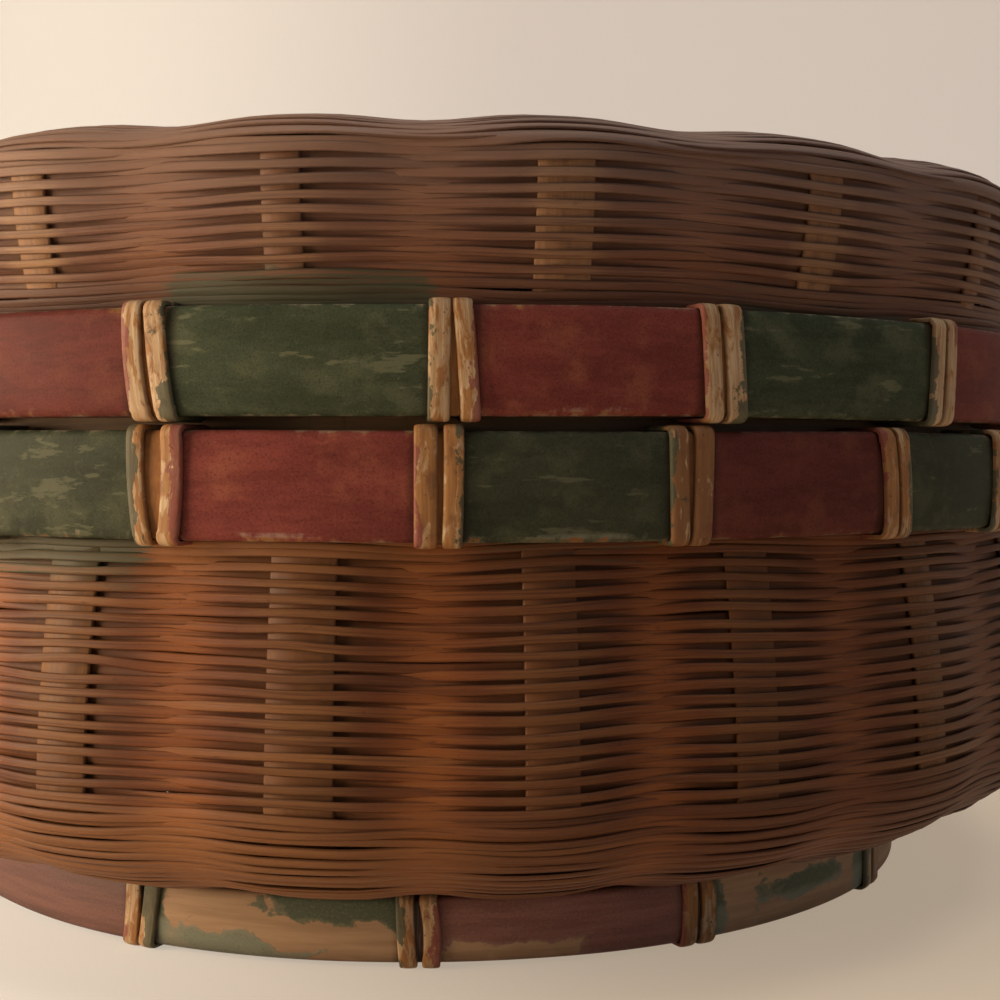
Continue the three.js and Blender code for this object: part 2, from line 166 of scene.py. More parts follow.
# Woven strands: browner at a stake, redder in the open span between two stakes. slot is painted bounce light
# for strands deep in a slot beside a stake; glow is partly painted light and dust partly painted sheen
wickerLooks = {
    "lid_wicker": {
        "stake": (0.153, 0.064, 0.033), "span": (0.140, 0.051, 0.025), "pale": (0.290, 0.155, 0.092),
        "dark": (0.056, 0.025, 0.016), "glow": (0.225, 0.090, 0.035), "slot": (0.150, 0.058, 0.030),
        "worn": (0.275, 0.142, 0.066), "dust": (0.185, 0.122, 0.096),
    },
    "bowl_wicker": {
        "stake": (0.125, 0.0385, 0.0105), "span": (0.117, 0.0300, 0.0064), "pale": (0.262, 0.109, 0.035),
        "dark": (0.043, 0.0130, 0.0042), "glow": (0.222, 0.064, 0.0115), "slot": (0.125, 0.040, 0.0110),
        "worn": (0.160, 0.066, 0.019), "dust": (0.120, 0.072, 0.046),
    },
}
wickerGrain = [                                      # noise, where it starts and is full, share, tone
    ("strand", 0.54, 0.80, 0.44, "pale"), ("strand", 0.48, 0.24, 0.52, "dark"),
    ("fibre", 0.54, 0.74, 0.42, "pale"), ("fibre", 0.47, 0.27, 0.60, "dark"),
    ("thread", 0.47, 0.32, 0.55, "dark"), ("thread", 0.56, 0.70, 0.28, "pale"),
    ("fleck", 0.62, 0.74, 0.40, "dark"),
]


def wickerFinish(name, look):
    make = Finish(name, **{"Specular IOR Level": 0.24})
    row, side, along, span = (make.note(note) for note in ("row", "side", "along", "span"))
    strand = make.noise(make.spot(along * 0.010, row * 7.3), 1, 1)           # one strand to the next
    fibre = make.noise(make.spot(along * 0.05, side * 1.5, row * 3.1), 1, 4, 0.65)
    thread = make.noise(make.spot(along * 0.03, side * 3.2, row * 6.3), 1, 3, 0.6)
    fleck = make.noise(make.spot(along * 0.50, side * 1.1, row * 5.7), 1, 3, 0.6)
    patch = make.noise(make.spot(along * 0.026, row * 0.05), 1, 3)           # broad changes over the wall
    noises = {"strand": strand, "fibre": fibre, "thread": thread, "fleck": fleck}
    midway = make.ease(span, 0.52, 0.98)
    shown = make.ease(strand, 0.30, 0.60) * 0.5 + 0.5
    # warmer mid-span bands: the strands' own colour, made stronger on the left as painted light
    warmthAndLight = (make.ease(patch, 0.30, 0.60) * 0.5 + 0.5) * midway * shown * make.note("glow")
    colour = make.blend(make.ease(span, 0.20, 0.85), look["stake"], look["span"])
    colour = make.blend(warmthAndLight, colour, look["glow"])
    rubbed = make.note("rubbed") * make.ease(fibre + patch, 0.70, 1.10)      # where it rides a stake
    colour = make.blend(rubbed, colour, look["worn"])
    for which, low, high, share, tone in wickerGrain:
        colour = make.blend(make.ease(noises[which], low, high) * share, colour, look[tone])
    # painted sheen: greyer where the wall turns away to the right, on the lid's shoulder and on the bowl's
    # turn, with some real dust on the lid's top
    colour = make.blend(make.note("dustAndSheen") * 0.6, colour, look["dust"])
    # painted light in the shade under the bowl's hoop, on its turn and on the lid's shoulder; darker next to
    # the lid's hoop
    lightAndDark = make.note("lightAndDark")                                                 # painted light above 0, darker below 0
    colour = make.blend(make.ease(lightAndDark, 0.0, 1.0) * 0.6, colour, look["pale"])
    colour = make.blend(make.ease(lightAndDark, 0.0, -1.0) * 0.7, colour, look["dark"])
    colour = make.blend(make.ease(abs(side), 0.66, 1.0) * 0.50, colour, look["dark"])   # painted shade where strand meets strand
    stain = make.note("stain")                                               # brushed past the hoop
    smear = make.ease(abs(stain) + (fibre - 0.5) * 1.5, 0.30, 0.62) * 0.85
    brush = make.blend(make.ease(thread, 0.38, 0.64), paints["green"]["plain"], paints["smear"])
    brush = make.blend(make.ease(stain, -0.05, 0.05), paints["red"]["plain"], brush)
    colour = make.blend(smear, colour, brush)
    deep = make.ease(make.note("deep"), 0.20, 0.95) * 0.50                   # painted bounce light where the strand goes behind a stake, into the slot
    colour = make.blend(deep, colour, look["slot"])
    rough = 0.50 + fibre * 0.24 - make.ease(strand, 0.5, 0.8) * 0.06
    normal = make.bump(fibre + thread * 0.6 + fleck * 0.4, 0.14, 0.6)
    return make.done(colour, rough, normal)


# Paint on the hoops, and what shows where it is thin or gone
paints = {
    "red": {"plain": (0.197, 0.045, 0.0345), "deep": (0.142, 0.031, 0.025), "pale": (0.240, 0.070, 0.042),
            "thin": (0.290, 0.105, 0.058)},
    "green": {"plain": (0.050, 0.061, 0.034), "deep": (0.036, 0.045, 0.025), "pale": (0.086, 0.093, 0.052),
              "thin": (0.155, 0.152, 0.090)},
    "smear": (0.060, 0.052, 0.025), "bare": (0.31, 0.138, 0.048), "bareDark": (0.26, 0.110, 0.040),
    "dust": (0.32, 0.26, 0.18), "grimeAndShade": (0.020, 0.011, 0.008), "edgeHighlight": (0.50, 0.48, 0.38),
}
hoopNotes = ("around", "up", "paint", "fromTie", "chance", "scuff")


def paintFinish(name):                               # brushed paint on a split bamboo hoop
    make = Finish(name, **{"Specular IOR Level": 0.05})
    around, up, paint, fromTie, chance, scuff = (make.note(note) for note in hoopNotes)
    streak = make.noise(make.spot(around * 0.07, up * 2.4, chance * 30), 1, 5, 0.62)
    fine = make.noise(make.spot(around * 0.13, up * 4.4, chance * 11), 1, 4, 0.58)
    blot = make.noise(make.spot(around * 0.13, up * 1.1, chance * 17), 1, 4, 0.6)
    chip = make.noise(make.spot(around * 0.42, up * 3.4, chance * 7), 1, 4, 0.62)
    pore = make.noise(make.spot(around * 3.6, up * 26.0, chance * 5), 1, 3, 0.7)
    layers = []
    for shade in ("red", "green"):
        tones = paints[shade]
        layer = make.blend(make.ease(streak, 0.34, 0.62), tones["deep"], tones["plain"])
        layer = make.blend(make.ease(blot, 0.48, 0.70) * 0.8, layer, tones["pale"])
        layer = make.blend(make.ease(blot, 0.44, 0.26) * 0.6, layer, tones["deep"])
        layers.append(make.blend(make.ease(fine, 0.52, 0.72) * 0.22, layer, tones["pale"]))
    coat = make.blend(paint, *layers)
    coat = make.blend(make.ease(pore, 0.50, 0.74) * 0.07, coat, paints["dust"])
    coat = make.blend(make.ease(pore, 0.50, 0.28) * 0.50, coat, paints["grimeAndShade"])
    rim = make.ease(abs(up), 0.78, 1.0)              # rubbed upper and lower edge
    tieRub = make.ease(fromTie, 7.0, 3.6)
    wear = rim * 0.10 + tieRub * 0.10 + scuff * (rim * 0.34 + 0.18) + chip * 0.80 + (chance - 0.5) * 0.05
    lost = make.ease(wear, 0.650, 0.680)
    wood = make.blend(make.ease(fine, 0.40, 0.62), paints["bareDark"], paints["bare"])
    thin = make.ease(wear, 0.52, 0.67)               # paint worn thin around each bare spot
    pale = make.blend(paint, paints["red"]["thin"], paints["green"]["thin"])
    coat = make.blend(thin * 0.50, coat, pale)
    fleck = make.ease(fine * 0.8 + scuff * 0.34 + streak * 0.40, 0.710, 0.76) * paint
    coat = make.blend(fleck * 0.55, coat, pale)      # pale rubs along the green
    broken = make.ease(chip * 0.7 + streak * 0.5 + scuff * 0.6, 0.74, 0.90)
    edgeHighlight = make.ease(abs(up + 0.88), 0.07, 0.02) * broken
    coat = make.blend(edgeHighlight * 0.20, coat, paints["edgeHighlight"])   # painted highlight in dashes along the lower edge
    colour = make.blend(lost, coat, wood)
    under = make.ease(fromTie + (blot - 0.5) * 1.2, 2.8, 2.3)
    colour = make.blend(under, colour, wood)         # the brush did not reach between the canes
    # painted shade beside each tie and a little in the gap between its two canes
    darkening = make.ease(fromTie, 4.8, 3.3) * make.ease(fromTie, 1.6, 3.0) * 0.55
    darkening = darkening + make.ease(fromTie, 0.9, 0.3) * 0.15
    colour = make.blend(darkening * make.ease(blot, 0.15, 0.50), colour, paints["grimeAndShade"])
    # painted glints: pale specks along the rubbed upper and lower edges
    paintedGlint = make.ease(rim + chip * 0.6, 1.25, 1.36) * 0.45
    colour = make.blend(paintedGlint, colour, paints["dust"])
    # painted shade and the paint's own shade, segment by segment
    colour = make.blend(1 - make.note("tone"), colour, paints["grimeAndShade"])
    rough = 0.36 + streak * 0.16 + lost * 0.20 + pore * 0.12
    normal = make.bump(streak * 0.35 + fine * 0.12 + pore * 0.10 + (1 - lost) * 0.45, 0.15, 0.55)
    return make.done(colour, rough, normal)


# The foot hoop, where most of the paint has come off
flakes = {
    "wood": (0.372, 0.218, 0.114), "woodLight": (0.470, 0.286, 0.156), "woodPale": (0.50, 0.34, 0.19),
    "red": (0.215, 0.083, 0.060), "redLight": (0.285, 0.118, 0.085), "redDull": (0.205, 0.096, 0.066),
    "green": (0.086, 0.100, 0.052), "greenPale": (0.200, 0.206, 0.138),
    "dust": (0.30, 0.25, 0.18), "lip": (0.36, 0.27, 0.17),
}


def flakedFinish(name):
    make = Finish(name, **{"Specular IOR Level": 0.25})
    around, up, paint, fromTie, chance, scuff = (make.note(note) for note in hoopNotes)
    grain = make.noise(make.spot(around * 0.05, up * 3.4, 2.0), 1, 4, 0.6)
    fine = make.noise(make.spot(around * 0.16, up * 16.0, 9.0), 1, 3, 0.6)
    island = make.noise(make.spot(around * 0.11, up * 0.85, chance * 13), 1, 4, 0.52, 0.5)
    fray = make.noise(make.spot(around * 0.8, up * 4.2, 4.0), 1, 3, 0.6)
    pore = make.noise(make.spot(around * 2.2, up * 12.0, 6.0), 1, 2, 0.6)
    wood = make.blend(make.ease(grain, 0.34, 0.66), flakes["wood"], flakes["woodLight"])
    wood = make.blend(make.ease(fine, 0.58, 0.74) * 0.22, wood, flakes["woodPale"])
    red = make.blend(make.ease(grain, 0.36, 0.64), flakes["red"], flakes["redLight"])
    red = make.blend(make.ease(chance, 0.62, 0.70), red, flakes["redDull"])
    faded = make.ease(up + (island - 0.5) * 0.8, 0.15, -0.25)
    green = make.blend(faded, flakes["green"], flakes["greenPale"])
    coat = make.blend(paint, red, green)
    coat = make.blend(make.ease(pore, 0.54, 0.72) * 0.30, coat, flakes["dust"])
    coat = make.blend(make.ease(pore, 0.44, 0.28) * 0.30, coat, paints["grimeAndShade"])
    loss = scuff + island * 0.60 + fray * 0.10
    lost = make.ease(loss, 0.66, 0.685)
    lip = make.ease(loss, 0.60, 0.66) * (1 - lost)
    colour = make.blend(lost, coat, wood)
    colour = make.blend(lip * 0.30, colour, flakes["lip"])
    # darker towards the lower edge, and painted shade beside each tie
    darkening = make.ease(up, -0.5, -1.0) * 0.40 + make.ease(fromTie, 4.8, 3.0) * 0.45
    darkening = darkening + make.ease(fromTie, 1.6, 0.4) * 0.4
    colour = make.blend(darkening * make.ease(island, 0.25, 0.55), colour, paints["grimeAndShade"])
    # painted shade and the paint's own shade, segment by segment
    colour = make.blend(1 - make.note("tone"), colour, paints["grimeAndShade"])
    rough = 0.48 + grain * 0.18 + lost * 0.10
    normal = make.bump(grain * 0.3 + fine * 0.2 + pore * 0.1 + (1 - lost) * 0.55, 0.16, 0.6)
    return make.done(colour, rough, normal)


# Split cane: stained, worn to cream, and painted over its outer sides
canes = {
    "cream": (0.350, 0.212, 0.105), "pale": (0.500, 0.345, 0.200), "ochre": (0.250, 0.104, 0.032),
    "amber": (0.325, 0.155, 0.050), "brown": (0.120, 0.050, 0.020), "crack": (0.034, 0.017, 0.010),
}


def caneFinish(name):
    make = Finish(name, **{"Specular IOR Level": 0.25})
    along, across, edge, leftGreen, old, face, tie = (
        make.note(note) for note in ("along", "across", "edge", "leftGreen", "old", "face", "tie"))
    fibre = make.noise(make.spot(along * 0.12, across * 3.2, tie * 9.7), 1, 4, 0.6)
    blot = make.noise(make.spot(along * 0.24, across * 0.7, tie * 4.3), 1, 4, 0.58)
    crack = make.noise(make.spot(along * 0.95, across * 1.5, tie * 6.1), 1, 4, 0.65, 0.5)
    peel = make.noise(make.spot(along * 0.26, across * 1.1, tie * 2.7), 1, 4, 0.60, 0.4) + (0.5 - old) * 0.34
    stained = make.blend(make.ease(fibre, 0.36, 0.64), canes["ochre"], canes["amber"])
    stained = make.blend(make.ease(blot, 0.52, 0.66) * 0.55, stained, canes["brown"])
    stained = make.blend(make.ease(old, 0.85, 1.0) * 0.55, stained, canes["brown"])
    worn = make.blend(make.ease(fibre, 0.40, 0.66), canes["cream"], canes["pale"])
    worn = make.blend(make.ease(blot, 0.54, 0.72) * 0.45, worn, canes["amber"])
    bare = make.ease(peel, 0.45, 0.55)
    colour = make.blend(bare, stained, worn)
    colour = make.blend(make.ease(peel, 0.44, 0.48) * (1 - bare) * 0.25, colour, canes["pale"])  # painted highlight on the lifted lip
    colour = make.blend(make.ease(crack, 0.64, 0.71) * 0.70, colour, canes["crack"])
    colour = make.blend(make.ease(abs(across), 0.80, 1.0) * 0.40, colour, canes["brown"])
    side = make.ease(edge, -0.05, 0.05)
    isGreen = side * (1 - leftGreen) + (1 - side) * leftGreen
    brush = make.blend(isGreen, paints["red"]["plain"], paints["green"]["plain"])
    reach = make.ease(abs(edge) + (blot - 0.5) * 2.0 + (crack - 0.5) * 0.4, 0.80, 0.88)
    drop = make.ease(blot * 0.5 + crack * 0.7 + abs(edge) * 0.06, 0.750, 0.785)
    splash = reach.most(drop * 0.7) * face
    colour = make.blend(splash * 0.82, colour, brush)
    rough = 0.46 + fibre * 0.22
    relief = fibre * 0.5 - make.ease(crack, 0.60, 0.70) * 0.5 + splash * 0.25 - bare * 0.3
    return make.done(colour, rough, make.bump(relief, 0.13, 0.6))


# Bare split bamboo, grain along the strip. Stakes are brown where they were never rubbed
bamboos = {
    "lid": {"light": (0.262, 0.130, 0.060), "dark": (0.182, 0.086, 0.041), "pale": (0.38, 0.215, 0.110),
            "brown": (0.170, 0.077, 0.040)},
    "bowl": {"light": (0.182, 0.077, 0.025), "dark": (0.125, 0.050, 0.0165), "pale": (0.29, 0.150, 0.060),
             "brown": (0.118, 0.042, 0.0128)},
    "plain": {"light": (0.30, 0.170, 0.082), "dark": (0.18, 0.094, 0.043), "pale": (0.42, 0.280, 0.155)},
    "speck": (0.070, 0.034, 0.018), "bowlStrips": 40,
}


def bambooFinish(name, stake):
    make = Finish(name, **{"Specular IOR Level": 0.20})
    along, across, strip = (make.note(note) for note in ("along", "across", "strip"))
    grain = make.noise(make.spot(along * 0.030, across * 3.5, strip * 8.3), 1, 4, 0.6)
    fine = make.noise(make.spot(along * 0.14, across * 11.0, strip * 3.7), 1, 3, 0.6)
    press = make.noise(make.spot(along * 0.95, across * 0.55, strip * 5.1), 1, 3, 0.6)
    blot = make.noise(make.spot(along * 0.10, across * 0.6, strip * 2.9), 1, 3, 0.5)

    def layer(look):
        tone = make.blend(make.ease(grain, 0.30, 0.66), look["dark"], look["light"])
        tone = make.blend(make.ease(fine, 0.58, 0.76) * 0.30, tone, look["pale"])
        return make.blend(make.ease(blot, 0.54, 0.72) * 0.40, tone, look["dark"])

    if stake:
        tan = make.ease(make.note("tan") + (blot - 0.5) + (press - 0.5) * 0.5, 0.25, 0.60)
        lid, bowl = (make.blend(tan, bamboos[key]["brown"], layer(bamboos[key])) for key in ("lid", "bowl"))
        colour = make.blend(make.ease(strip, 20.0, 21.0), lid, bowl)         # the bowl's strips count from 41
    else:
        colour = layer(bamboos["plain"])
    colour = make.blend(make.ease(press, 0.60, 0.70) * 0.45, colour, bamboos["speck"])   # rub marks
    smear = make.ease(make.note("stain") + (press - 0.5) * 0.9, 0.26, 0.60) * 0.85
    colour = make.blend(smear, colour, paints["smear"])
    rough = 0.46 + grain * 0.22
    normal = make.bump(grain * 0.4 + fine * 0.3 + press * 0.3, 0.12, 0.5)
    return make.done(colour, rough, normal)


finishes = {
    "lid_wicker": wickerFinish("lid_wicker", wickerLooks["lid_wicker"]),
    "bowl_wicker": wickerFinish("bowl_wicker", wickerLooks["bowl_wicker"]),
    "painted_hoop": paintFinish("painted_hoop"),
    "worn_hoop": flakedFinish("worn_hoop"),
    "binding_cane": caneFinish("binding_cane"),
    "stake_bamboo": bambooFinish("stake_bamboo", True),
    "plain_bamboo": bambooFinish("plain_bamboo", False),
}
print("finishes made:", ", ".join(finishes))


# Mesh making, in mm and with even spacing; settle() then moves the work to where the maker's hand left it
def settled(angle, hand):                            # even angle to true angle, in radians
    angle = (angle + math.pi) % full - math.pi
    crowded = angle - math.radians(hand["crowding"]) * np.sin(angle)
    marks = sorted(hand["shifts"])
    shifts = [hand["shifts"][mark] for mark in marks]
    return crowded + np.radians(np.interp(np.degrees(angle), marks, shifts))


def settle(points, hand):
    angle = settled(np.arctan2(points[..., 0], -points[..., 1]), hand)
    radius = np.hypot(points[..., 0], points[..., 1])
    return np.stack([radius * np.sin(angle), -radius * np.cos(angle), points[..., 2]], -1)


# How far ties and stakes stand from even spacing, in degrees at an even azimuth
hands = {
    "lidTies": {"crowding": rims["lidCrowding"],
                "shifts": {-19.7: 0, 0.3: 1.0, 20.3: 0.0, 40.3: 1.9, 60.3: 0}},
    "bodyTies": {"crowding": rims["bodyCrowding"],
                 "shifts": {-36.4: 0, -18.4: -1.6, -0.4: 0.8, 17.6: 0.9, 35.6: 2.0, 53.6: 0}},
    "footTies": {"crowding": rims["bodyCrowding"], "shifts": {28.5: 0, 58.5: 1.9, 88.5: 0}},
    "lidStakes": {"crowding": rims["lidCrowding"],
                  "shifts": {-29.7: 0, -9.7: -0.6, 10.3: -1.3, 30.3: -0.9, 50.3: -1.2, 70.3: 0}},
    "bodyStakes": {"crowding": rims["bodyCrowding"],
                   "shifts": {-45.4: 0, -27.4: -0.6, -9.4: 0, 8.6: 0, 26.6: -2.2, 44.6: -1.7, 62.6: 0}},
}


def polar(radius, angle, height):
    return np.stack(np.broadcast_arrays(radius * np.sin(angle), -radius * np.cos(angle), height), -1)


def unit(vectors):
    return vectors / np.linalg.norm(vectors, axis=-1, keepdims=True)


def wander(angles, seed, waves, reach):              # a slow drift that closes on itself round the basket
    chance = np.random.default_rng(seed)
    total = np.zeros_like(angles)
    for wave in waves:
        total = total + chance.normal() * np.sin(wave * angles + chance.uniform(0, full))
    return reach * total / math.sqrt(len(waves))


def loftFaces(rings, sides):                         # quads between neighbouring sections
    here = np.arange(rings - 1)[:, None] * sides
    side = np.arange(sides)[None, :]
    after = (side + 1) % sides
    corners = (here + side, here + after, here + sides + after, here + sides + side)
    return np.stack(np.broadcast_arrays(*corners), -1).reshape(-1, 4)


def capFaces(rings, sides):
    first = np.arange(sides)[::-1]
    return np.stack([first, (rings - 1) * sides + first[::-1]])


def facingOut(points, faces):                        # turns every face over if the body is inside out
    quads = faces[0]
    a, b, c, d = (points[quads[:, corner]] for corner in range(4))
    volume = np.einsum("ij,ij->", a, np.cross(b, c)) + np.einsum("ij,ij->", a, np.cross(c, d))
    return faces if volume > 0 else [block[:, ::-1] for block in faces]


def makePiece(name, points, faces, part, notes, sharp):      # sharp: edges from this angle on stay hard
    faces = facingOut(points, faces)
    loops = np.concatenate([block.ravel() for block in faces])
    sizes = np.concatenate([np.full(len(block), block.shape[1]) for block in faces])
    starts = np.concatenate([[0], np.cumsum(sizes)[:-1]])
    mesh = bpy.data.meshes.new(name)
    mesh.vertices.add(len(points))
    mesh.vertices.foreach_set("co", (points * mm).astype(np.float32).ravel())
    mesh.loops.add(len(loops))
    mesh.loops.foreach_set("vertex_index", loops.astype(np.int32))
    mesh.polygons.add(len(sizes))
    mesh.polygons.foreach_set("loop_start", starts.astype(np.int32))
    mesh.polygons.foreach_set("use_smooth", np.ones(len(sizes), bool))
    mesh.update(calc_edges=True)
    mesh.set_sharp_from_angle(angle=math.radians(sharp))
    for note, values in notes.items():
        layer = mesh.attributes.new(note, "FLOAT", "POINT")
        layer.data.foreach_set("value", np.asarray(values, np.float32).ravel())
    mesh.materials.append(finishes[part["slot"]])
    piece = bpy.data.objects.new(name, mesh)
    bpy.context.scene.collection.objects.link(piece)
    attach(piece, part["body"])
    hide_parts(*part["nodes"])


def gather(bodies):                                  # several lofted bodies as one mesh
    points, blocks, notes, count = [], {}, {}, 0
    for body in bodies:
        points.append(body["points"])
        for block in body["faces"]:
            blocks.setdefault(block.shape[1], []).append(block + count)
        for note, values in body["notes"].items():
            notes.setdefault(note, []).append(np.asarray(values, float).ravel())
        count += len(body["points"])
    faces = [np.concatenate(blocks[size]) for size in sorted(blocks)]
    return np.concatenate(points), faces, {note: np.concatenate(values) for note, values in notes.items()}


# The middle surface of a weave, by length from its rim edge
class Skin:
    def __init__(self, outline, turn, depth):
        outline = np.array(outline, float)
        keep = np.r_[True, np.linalg.norm(np.diff(outline, axis=0), axis=1) > 1e-6]
        outline = outline[keep]
        run = unit(np.gradient(outline, axis=0))
        out = np.stack([run[:, 1], -run[:, 0]], 1) * turn
        middle = outline - out * depth
        steps = np.linalg.norm(np.diff(middle, axis=0), axis=1)
        self.length = np.r_[0, np.cumsum(steps)]
        self.table = np.column_stack([middle, out, run])

    def at(self, lengths):
        values = [np.interp(lengths, self.length, column) for column in self.table.T]
        return values[0], values[1], values[2:4], values[4:6]


def curvedWall(startRadius, startHeight, endRadius, endHeight, steps=24):
    t = np.linspace(0, 1, steps)[:, None]
    start, end = np.array([startRadius, startHeight]), np.array([endRadius, endHeight])
    pull = np.array([endRadius, startHeight * 0.45 + endHeight * 0.55])
    return (1 - t) ** 2 * start + 2 * t * (1 - t) * pull + t ** 2 * end


def quarterTurn(middleRadius, middleHeight, width, rise, steps=40):
    t = np.linspace(0, math.pi / 2, steps)
    return np.column_stack([middleRadius + width * np.cos(t), middleHeight + rise * np.sin(t)])


def between(azimuth, start, end, soft=2.4):
    return np.clip((azimuth - start) / soft, 0, 1) * np.clip((end - azimuth) / soft, 0, 1)


def lidBrush(azimuth):                               # green paint brushed onto the rows beside a hoop
    return between(azimuth, -20, 1.5) * 0.95 + between(azimuth, 18.5, 40) * 0.45


def bowlBrush(azimuth):
    return between(azimuth, -42, -18.8) + between(azimuth, 1, 17) * 0.4


# The two weaves, in mm. Stake 0 is the first right of the middle, and span 0 follows it to the right:
# rubbed, the painted sheen with dust, and the painted light with darkening are by stake; the warm spans,
# partly painted light, by span. Lengths past the hoop say up to where rows by the rim stay before the stakes
# (closeRim), from where to where they do so on the turn and how much (closeTurn), and where the painted
# sheen with dust and the painted light with darkening lie. gapes are places where rows part: azimuth, height,
# half width in degrees, opening
lidWeave = {
    "body": "lid", "slot": "lid_wicker", "nodes": ["lid_weave"], "name": "lid_weave_rows",
    "hand": "lidStakes",
    "swell": 0.7, "wall": 21.7, "shoulderWidth": 31.4, "shoulderRise": 7.6, "crown": 2.6, "hole": 26.67,
    "start": 0.7, "step": 1.07, "up": -1, "wallRows": 34, "turnRows": 40, "seed": 11,
    "clear": lidHoopHigh - lidWeaveLow, "dip": 0.85, "turnDip": 0.4,
    "stakes": 18, "turn": 10.3, "stakeWidth": 6.4, "closeRim": 3.2, "closeTurn": (20.0, 40.0, 0.78),
    "brush": lidBrush, "stainReach": 8.0,
    "rubbed": {16: 1.0, 17: 0.5, 0: 1.0, 1: 0.9, 2: 0.7},
    "spanWarmthAndLight": {15: 0.6, 16: 0.8, 17: 0.65, 0: 0.3, 1: 0.15},
    "dustAndSheen": {1: 0.1, 2: 0.3, 3: 0.3}, "dustAndSheenFrom": (7.0, 21.0, 0.75),
    "lightAndDark": {15: 0.8, 16: 1.0, 17: 1.0, 0: 0.2},
    "lightAndDarkAlong": ((0.0, 7.0, 13.0, 24.0), (-0.9, 0.0, 0.0, 0.6)),
    "gapes": [(-17, 115.0, 4.0, 0.35), (-40, 104, 5, 0.3), (33, 107, 4, 0.3), (150, 108, 6, 0.3)],
}
bowlWeave = {
    "body": "basket", "slot": "bowl_wicker", "nodes": ["body_weave"], "name": "bowl_weave_rows",
    "hand": "bodyStakes",
    "swell": 1.1, "belly": 28.9, "turnWidth": 34.0, "turnDrop": 18.0, "hole": 28.56,
    "start": 0.7, "step": 1.06, "up": 1, "wallRows": 44, "turnRows": 40, "seed": 23,
    "clear": bodyWeaveHigh - bodyHoopLow, "dip": 0.95, "turnDip": 0.25,
    "stakes": 20, "turn": 8.6, "stakeWidth": 8.6, "closeRim": 1.2, "closeTurn": (36.5, 62.0, 0.74),
    "brush": bowlBrush, "stainReach": 10.0,
    "rubbed": {18: 0.8, 19: 0.8, 0: 0.6, 1: 0.6, 2: 0.7},
    "spanWarmthAndLight": {17: 1.3, 18: 1.3, 19: 1.0, 0: 0.75, 1: 0.5, 2: 0.2},
    "dustAndSheen": {2: 0.2, 3: 0.5, 4: 0.4}, "dustAndSheenFrom": (30.0, 48.0, 0.25),
    "lightAndDark": {17: 0.9, 18: 0.7, 19: 0.9, 0: 0.2},
    "lightAndDarkAlong": ((0.0, 9.0, 34.0, 42.0), (1.0, 0.0, 0.0, 1.0)),
    "gapes": [(-25.5, 47.5, 4.5, 0.8), (-18.5, 50.0, 3.0, 0.6), (-9, 51.5, 2.4, 0.6), (21, 38, 5, 0.3),
              (120, 50, 6, 0.4), (-130, 40, 6, 0.4)],
}
weaveDepth = rims["weave"] / 2 - 0.3                 # the strands' middle, under the outer face of the weave


def lidSkin():
    look = lidWeave
    radius = rims["radius"] + look["swell"]
    shoulder = lidHoopHigh + look["wall"]
    inner = radius - look["shoulderWidth"]
    outline = np.concatenate([
        np.column_stack([np.full(8, weaveEdge), np.linspace(lidWeaveLow, lidHoopHigh, 8)]),
        curvedWall(weaveEdge, lidHoopHigh, radius, shoulder),
        quarterTurn(inner, shoulder, look["shoulderWidth"], look["shoulderRise"]),
        np.linspace([inner - 1, lidWeaveHigh - look["crown"] * 0.985], [look["hole"], lidWeaveHigh], 20),
    ])
    return Skin(outline, 1, weaveDepth)


def bowlSkin():
    look = bowlWeave
    radius = rims["radius"] + look["swell"]
    inner = radius - look["turnWidth"]
    base = look["belly"] - look["turnDrop"]
    turn = quarterTurn(inner, -look["belly"], look["turnWidth"], look["turnDrop"]) * np.array([1, -1])
    outline = np.concatenate([
        np.column_stack([np.full(8, weaveEdge), np.linspace(bodyWeaveHigh, bodyHoopLow, 8)]),
        curvedWall(weaveEdge, bodyHoopLow, radius, look["belly"]),
        turn,
        np.linspace([inner - 1, base], [look["hole"], base], 20),
    ])
    return Skin(outline, -1, weaveDepth)


def ribbonSection(sides):                            # out and sideways, a flat strip with rounded edges
    if sides == 8:
        return np.array([[1, -0.60], [1, 0.60], [0.5, 1], [-0.5, 1],
                         [-1, 0.60], [-1, -0.60], [-0.5, -1], [0.5, -1]])
    return np.array([[1, -0.6], [1, 0.6], [0, 1], [-1, 0.6], [-1, -0.6], [0, -1]])


# The strands: sways in mm, and widths from waleWidth on in steps from row to row
strands = {
    "wide": 1.27, "thick": 0.54, "lift": 0.72, "sway": 0.22, "jitter": 0.09, "own": 0.07,
    "waleWidth": 1.17, "spanWidth": 1.42, "closeWidth": 1.95, "behindWidth": 1.98,
}


def strandLengths(skin, look, rows, angle, trueAngle, chance):      # how far from the rim each row runs
    length = look["start"] + rows * look["step"]
    sway = np.random.default_rng(look["seed"])
    for wave in (1, 2, 3, 5, 8, 13):                 # whole bands of rows sway together
        lean = sway.normal() * 0.05
        reach = strands["sway"] * sway.normal()
        length = length + reach * np.sin(wave * angle + lean * rows + sway.uniform(0, full))
    length = length + strands["jitter"] * chance.normal(size=rows.shape)
    for wave in (4, 7, 11, 17, 26):                  # and each strand a little by itself
        own = chance.uniform(0, full, rows.shape)
        length = length + strands["own"] * np.sin(wave * angle + own)
    height = skin.at(length)[1]
    for azimuth, level, reach, opening in look["gapes"]:
        apart = np.degrees(trueAngle) - azimuth
        near = np.exp(-(apart / reach) ** 2) * np.exp(-np.abs(height - level) / 4.0)
        length = length - look["up"] * opening * np.tanh((height - level) / 0.8) * near
    return np.clip(length, 0.55, skin.length[-1] - 0.4)


